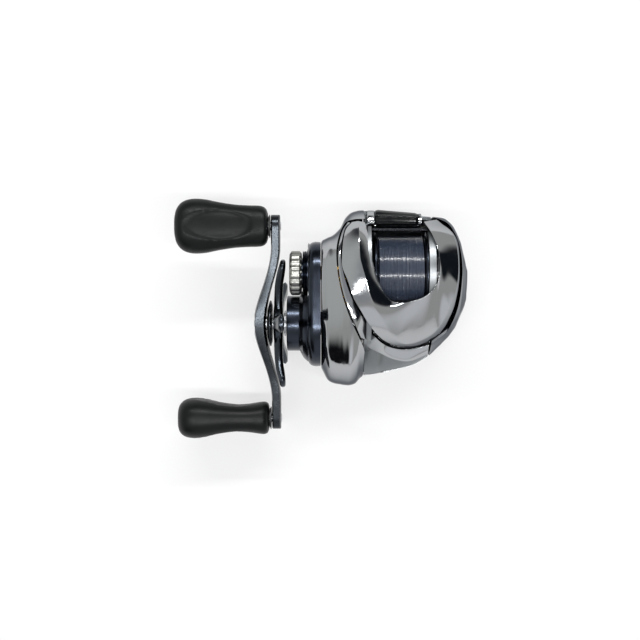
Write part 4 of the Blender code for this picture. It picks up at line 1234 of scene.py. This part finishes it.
@dataclass
class StarDrag:
    """Five-armed star: a turned hub and swept arms with finger pads.

    A reach station holds an arm's distance from the axis, half width, x and half thickness.
    """

    arms: int = 5
    first_angle: float = 18.0
    hub: tuple[Pair, ...] = ((-49.4, 3.4), (-49.4, 7.2), (-50.2, 8.6), (-52.6, 8.6), (-53.3, 7.8), (-53.4, 6.0),
                             (-53.4, 3.4))
    reach_stations: tuple[tuple[float, float, float, float], ...] = (
        (5.0, 4.4, -51.3, 1.9), (9.0, 3.6, -51.3, 1.85), (13.0, 3.1, -51.2, 1.8), (18.0, 3.0, -50.9, 1.75),
        (22.0, 3.4, -50.2, 1.7), (25.0, 3.7, -49.6, 1.45), (27.0, 3.0, -49.3, 1.15), (28.0, 1.2, -49.2, 0.7))

    def build(self) -> None:
        """Builds the star."""
        bm = bmesh.new()
        lathe_into(bm, fillet(self.hub, 0.5, 4), MAIN_AXIS, 96, closed=True)
        stations = spline([Vector(s) for s in self.reach_stations], 30)
        for arm in range(self.arms):
            angle = math.radians(self.first_angle + 360 / self.arms * arm)
            outward = Vector((0, math.cos(angle), math.sin(angle)))
            across = Vector((0, -math.sin(angle), math.cos(angle)))
            rows = []
            for reach, width, x, thick in stations:
                middle = Vector((x, *MAIN_AXIS)) + outward * reach
                outline = fillet([(-width, -0.2 * thick), (-0.62 * width, -thick), (0.62 * width, -thick),
                                  (width, -0.2 * thick), (width, 0.3 * thick), (0.6 * width, thick),
                                  (-0.6 * width, thick), (-width, 0.3 * thick)], 0.35, 3)
                rows.append([middle + across * p.x + Vector((p.y, 0, 0)) for p in outline])
            grid_into(bm, rows)
        install(finish_mesh("star_drag_wheel", bm, 26.0), STAR_GREY, "star_drag", "star", "star_drag")


@dataclass
class Handle:
    """Swept double crank with its collar, nut and retainer."""

    end_margin: float = 4.8
    stations: int = 90
    recess_radius: float = 5.1
    shaft_radius: float = 3.3
    collar: tuple[Pair, ...] = ((-54.0, 3.4), (-54.0, 8.0), (-54.5, 9.8), (-55.1, 9.8), (-56.1, 6.0), (-56.1, 3.4))
    nut_plate: tuple[Pair, ...] = ((-60.7, 0.0), (-60.7, 4.7), (-61.2, 4.7), (-61.2, 2.2), (-61.0, 2.0), (-61.0, 0.0))
    screw: tuple[Pair, ...] = ((-61.3, 0.0), (-61.3, 1.7), (-61.75, 1.6), (-61.9, 1.1), (-61.9, 0.6), (-61.6, 0.5),
                               (-61.6, 0.0))
    post: tuple[Pair, ...] = ((-50.1, 0.0), (-50.1, 1.4), (-50.5, 2.4), (-50.6, 1.8), (-93.2, 1.8), (-93.2, 0.0))
    end_washer: tuple[Pair, ...] = ((-54.75, 2.1), (-54.75, 4.9), (-55.1, 4.9), (-55.1, 4.2), (-55.5, 4.2),
                                    (-55.5, 2.1))

    def turned(self, piece: bpy.types.Object) -> bpy.types.Object:
        """Turns a piece built along Y about the main axis to the handle's tilt.

        Args:
            piece: the piece, built round the X axis.

        Returns:
            The piece, in its place.
        """
        centre = Vector((0, *MAIN_AXIS)) * MM
        turn = Matrix.Translation(centre) @ Matrix.Rotation(HANDLE_TILT, 4, "X")
        piece.data.transform(turn)
        return piece

    def arm_rows(self) -> list[list[Vector]]:
        """Gives the arm's sections from one end to the other.

        Returns:
            The closed sections, in millimetres, before the arm is turned.
        """
        reach = HANDLE_RADIUS + self.end_margin
        rows = []
        for i in range(self.stations + 1):
            along = -reach * math.cos(math.pi * i / self.stations)
            middle = -52.45 - 6.9 * (1 - smooth_step(abs(along) / 33))
            thick = (3.9 + 1.3 * (1 - smooth_step(abs(along) / 20))) / 2
            width = 4.3 + 1.6 * (1 - smooth_step(abs(along) / 26))
            to_end = reach - abs(along)
            if to_end < self.end_margin:
                width *= max(math.sqrt(max(1 - (1 - to_end / self.end_margin) ** 2, 0.0)), 0.12)
                thick *= 0.9 + 0.1 * min(to_end / 0.6, 1.0)
            outline = fillet([(-thick, -0.5 * width), (-0.72 * thick, -width), (0.72 * thick, -width),
                              (thick, -0.55 * width), (thick, 0.55 * width), (0.72 * thick, width),
                              (-0.72 * thick, width), (-thick, 0.5 * width)], 0.3, 3)
            rows.append([Vector((middle + p.x, along, p.y)) for p in outline])
        return rows

    def build(self) -> None:
        """Builds the arm with its centre recess, and the small parts in it."""
        bm = bmesh.new()
        grid_into(bm, self.arm_rows())
        arm = finish_mesh("crank_arm", bm, 26.0)
        carve(arm, x_rod((-70.0, -58.4), (0.0, 0.0), self.recess_radius, 64),
              x_rod((-60.0, -45.0), (0.0, 0.0), self.shaft_radius, 64), sharp=26.0)
        install(self.turned(arm), GUNMETAL, "handle", "gunmetal", "handle_arm")
        collar = lathe("crank_collar", fillet(self.collar, 0.3, 4), MAIN_AXIS, 96, closed=True)
        install(collar, GUNMETAL, "handle", "gunmetal", "handle_collar")
        plate = lathe("crank_nut_plate", fillet(self.nut_plate, 0.12, 3, closed=False), MAIN_AXIS, 64)
        install(plate, GUNMETAL, "handle", "gunmetal", "nut_retainer")
        screw = lathe("retainer_screw_head", fillet(self.screw, 0.12, 3, closed=False), MAIN_AXIS, 40)
        install(screw, STEEL, "handle", "steel", "retainer_screw")
        for side in (-1, 1):
            self.build_end(side)

    def build_end(self, side: int) -> None:
        """Builds the riveted post and the washer at one end of the arm.

        Args:
            side: 1 for the rear end, -1 for the front end.
        """
        name = "rear" if side > 0 else "front"
        axis = REAR_KNOB_AXIS if side > 0 else FRONT_KNOB_AXIS
        rivet = lathe(f"{name}_post", fillet(self.post, 0.1, 3, closed=False), axis, 48)
        install(rivet, STEEL, "handle", "steel", f"{name}_knob_post")
        collar = lathe(f"{name}_collar", fillet(self.end_washer, 0.1, 3), axis, 64, closed=True)
        install(collar, ACETAL, "handle", "plastic", f"{name}_knob_collar")


@dataclass
class PaddleKnob:
    """Moulded paddle knob with dished faces, and its bright end cap."""

    name: str
    axis: Pair
    turn: float
    stations: tuple[Triple, ...] = (
        (-94.9, 5.0, 4.6), (-94.2, 7.4, 6.2), (-92.6, 9.6, 7.7), (-90.2, 11.0, 8.5), (-86.6, 11.6, 8.8),
        (-82.0, 11.3, 8.3), (-76.5, 10.2, 7.2), (-70.0, 9.2, 6.4), (-64.0, 8.8, 6.3), (-60.0, 8.7, 6.8),
        (-57.8, 8.3, 7.0), (-56.4, 7.2, 6.5), (-55.75, 5.6, 5.3))
    dish_depth: float = 0.55
    dish_middle: float = -76.5
    dish_half: Pair = (15.2, 6.6)
    cap_radius: float = 3.3
    bore_radius: float = 4.0
    cap: tuple[Pair, ...] = ((-93.6, 0.0), (-93.6, 2.9), (-94.9, 2.9), (-95.2, 2.5), (-95.2, 1.5), (-94.7, 1.3),
                             (-94.7, 0.0))

    def dished(self, x: float, broad: float, thin: float) -> float:
        """Gives the height of the face at a point once its dish is pressed in.

        Args:
            x: the point's place along the knob.
            broad: its place across the broad face.
            thin: its height on the plain face.

        Returns:
            Its height with the dish.
        """
        away = math.hypot((x - self.dish_middle) / self.dish_half[0], broad / self.dish_half[1])
        return thin - math.copysign(self.dish_depth * smooth_step((1.0 - away) / 0.16), thin)

    def build(self) -> None:
        """Builds the knob and its cap."""
        rows = []
        for x, broad, thin in spline([Vector(s) for s in self.stations], 72):
            row = []
            for i in range(80):
                angle = i * math.tau / 80
                c, s = math.cos(angle), math.sin(angle)
                b = broad * math.copysign(abs(c) ** 0.82, c)
                t = thin * math.copysign(abs(s) ** 0.82, s)
                row.append(Vector((x, b, self.dished(x, b, t))))
            rows.append(row)
        knob = skin(f"{self.name}_grip", rows, cap=True, sharp=40.0)
        carve(knob, x_rod((-99.0, -93.3), (0.0, 0.0), self.cap_radius, 64),
              x_rod((-94.0, -50.0), (0.0, 0.0), self.bore_radius, 64), sharp=26.0)
        move = Matrix.Translation(Vector((0, *self.axis)) * MM) @ Matrix.Rotation(self.turn, 4, "X")
        knob.data.transform(move)
        install(knob, GRIP_RUBBER, self.name, "knob", self.name)
        cap = lathe(f"{self.name}_end_cap", fillet(self.cap, 0.15, 3, closed=False), self.axis, 48)
        install(cap, CLEAR_ALUMINIUM, self.name, "silver", f"{self.name}_cap")


# ------------------------------------------------------------------ studio

@dataclass(frozen=True)
class Patch:
    """A round patch of the room, given by its direction and its half-angles in degrees."""

    towards: Triple
    inner: float
    outer: float
    colour: str


@dataclass
class Studio:
    """Pale floor, soft light and the camera straight above the reel."""

    camera_at: Triple = (-33.6, -14.4, 450.0)
    focal_px: float = 1002.0
    floor_z: float = -6.5
    floor: str = "808080"
    floor_glow: float = 0.62
    wall: str = "c6c6c4"
    patches: tuple[Patch, ...] = (
        Patch((0.0, 0.0, 1.0), 22.0, 44.0, "b2b4b8"),
        Patch((-1.0, 0.2, 0.55), 14.0, 44.0, "dcdedc"),
        Patch((0.95, 0.15, 0.62), 20.0, 34.0, "1c2026"),
        Patch((0.1, -0.95, 0.38), 14.0, 30.0, "f6f7fb"),
        Patch((-0.62, -0.8, 0.16), 15.0, 26.0, "17171a"),
        Patch((-0.35, 1.0, 0.3), 16.0, 34.0, "4e5054"))
    lamps: tuple[tuple[str, Triple, Pair, float], ...] = (
        ("tube_rear", (0.0, 1.06, 1.2), (1.5, 0.045), 22.0),
        ("tube_front", (0.0, -0.22, 1.2), (1.5, 0.035), 14.0))

    def build(self) -> None:
        """Builds the camera, floor, world and lights."""
        scene = bpy.context.scene
        scene.view_settings.view_transform = "Standard"
        data = bpy.data.cameras.new("camera")
        data.sensor_width = 36.0
        data.lens = self.focal_px * data.sensor_width / 640
        data.clip_start = 0.01
        camera = bpy.data.objects.new("camera", data)
        camera.location = Vector(self.camera_at) * MM
        scene.collection.objects.link(camera)
        scene.camera = camera
        self.build_floor()
        self.build_world()
        self.build_lights()

    def build_floor(self) -> None:
        """Builds the pale floor, which glows a little so that shadows stay soft."""
        bm = bmesh.new()
        bmesh.ops.create_grid(bm, x_segments=1, y_segments=1, size=3.0)
        floor = finish_mesh("floor", bm)
        floor.data.transform(Matrix.Translation((0, 0, self.floor_z * MM)))
        made = bpy.data.materials.new("pale_floor")
        made.use_nodes = True
        shader = made.node_tree.nodes["Principled BSDF"]
        shader.inputs["Base Color"].default_value = linear(self.floor)
        shader.inputs["Roughness"].default_value = 0.9
        shader.inputs["Emission Color"].default_value = linear("ffffff")
        shader.inputs["Emission Strength"].default_value = self.floor_glow
        floor.data.materials.append(made)

    def build_world(self) -> None:
        """Builds the room: a grey ceiling, a bright window in front, a pale wall and a dark doorway."""
        world = bpy.data.worlds.new("room")
        world.use_nodes = True
        bpy.context.scene.world = world
        tree = world.node_tree
        way = node(tree, "ShaderNodeTexCoord").outputs["Generated"]
        shade = None
        for patch in self.patches:
            towards = Vector(patch.towards).normalized()
            reach = node(tree, "ShaderNodeVectorMath", {"operation": "DOT_PRODUCT", 1: towards},
                         {0: way}).outputs["Value"]
            part = node(tree, "ShaderNodeMapRange", {"interpolation_type": "SMOOTHSTEP",
                                                     "From Min": math.cos(math.radians(patch.outer)),
                                                     "From Max": math.cos(math.radians(patch.inner))},
                        {"Value": reach}).outputs[0]
            mixed = node(tree, "ShaderNodeMix", {"data_type": "RGBA"}, {0: part})
            mixed.inputs[7].default_value = linear(patch.colour)
            if shade is None:
                mixed.inputs[6].default_value = linear(self.wall)
            else:
                tree.links.new(shade, mixed.inputs[6])
            shade = mixed.outputs[2]
        tree.links.new(shade, tree.nodes["Background"].inputs["Color"])
        tree.nodes["Background"].inputs["Strength"].default_value = 1.0

    def build_lights(self) -> None:
        """Builds the two long overhead tubes."""
        for name, place, size, power in self.lamps:
            data = bpy.data.lights.new(name, "AREA")
            data.shape = "RECTANGLE"
            data.size, data.size_y = size
            data.energy = power
            light = bpy.data.objects.new(name, data)
            light.location = place
            light.rotation_euler = (-Vector(place)).to_track_quat("-Z", "Y").to_euler()
            bpy.context.scene.collection.objects.link(light)


# ------------------------------------------------------------------ assembly

def dress_cad_nodes() -> None:
    """Gives each CAD node that stays in view the finish of its slot."""
    slots = {entry["node"]: entry["material_slot"] for entry in frame["record"]["subparts"]}
    for name, piece in frame["nodes"].items():
        SLOT_FINISHES[slots[name]].dress(piece)
        piece.data.shade_smooth()
        piece.data.set_sharp_from_angle(angle=math.radians(30))


def main() -> None:
    """Builds the reel's looks in order."""
    logging.basicConfig(level=logging.INFO, format="%(name)s: %(message)s")
    Studio().build()
    dress_cad_nodes()
    SideShells().build()
    FrameCasting().build()
    Hood().build()
    FrontBand().build()
    GearSideCover().build()
    CastControl().build()
    SpoolUnit().build()
    ThumbBar().build()
    StarDrag().build()
    Handle().build()
    PaddleKnob("rear_knob", REAR_KNOB_AXIS, 0.0).build()
    PaddleKnob("front_knob", FRONT_KNOB_AXIS, math.pi / 2).build()
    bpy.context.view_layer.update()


if __name__ == "__main__":
    main()
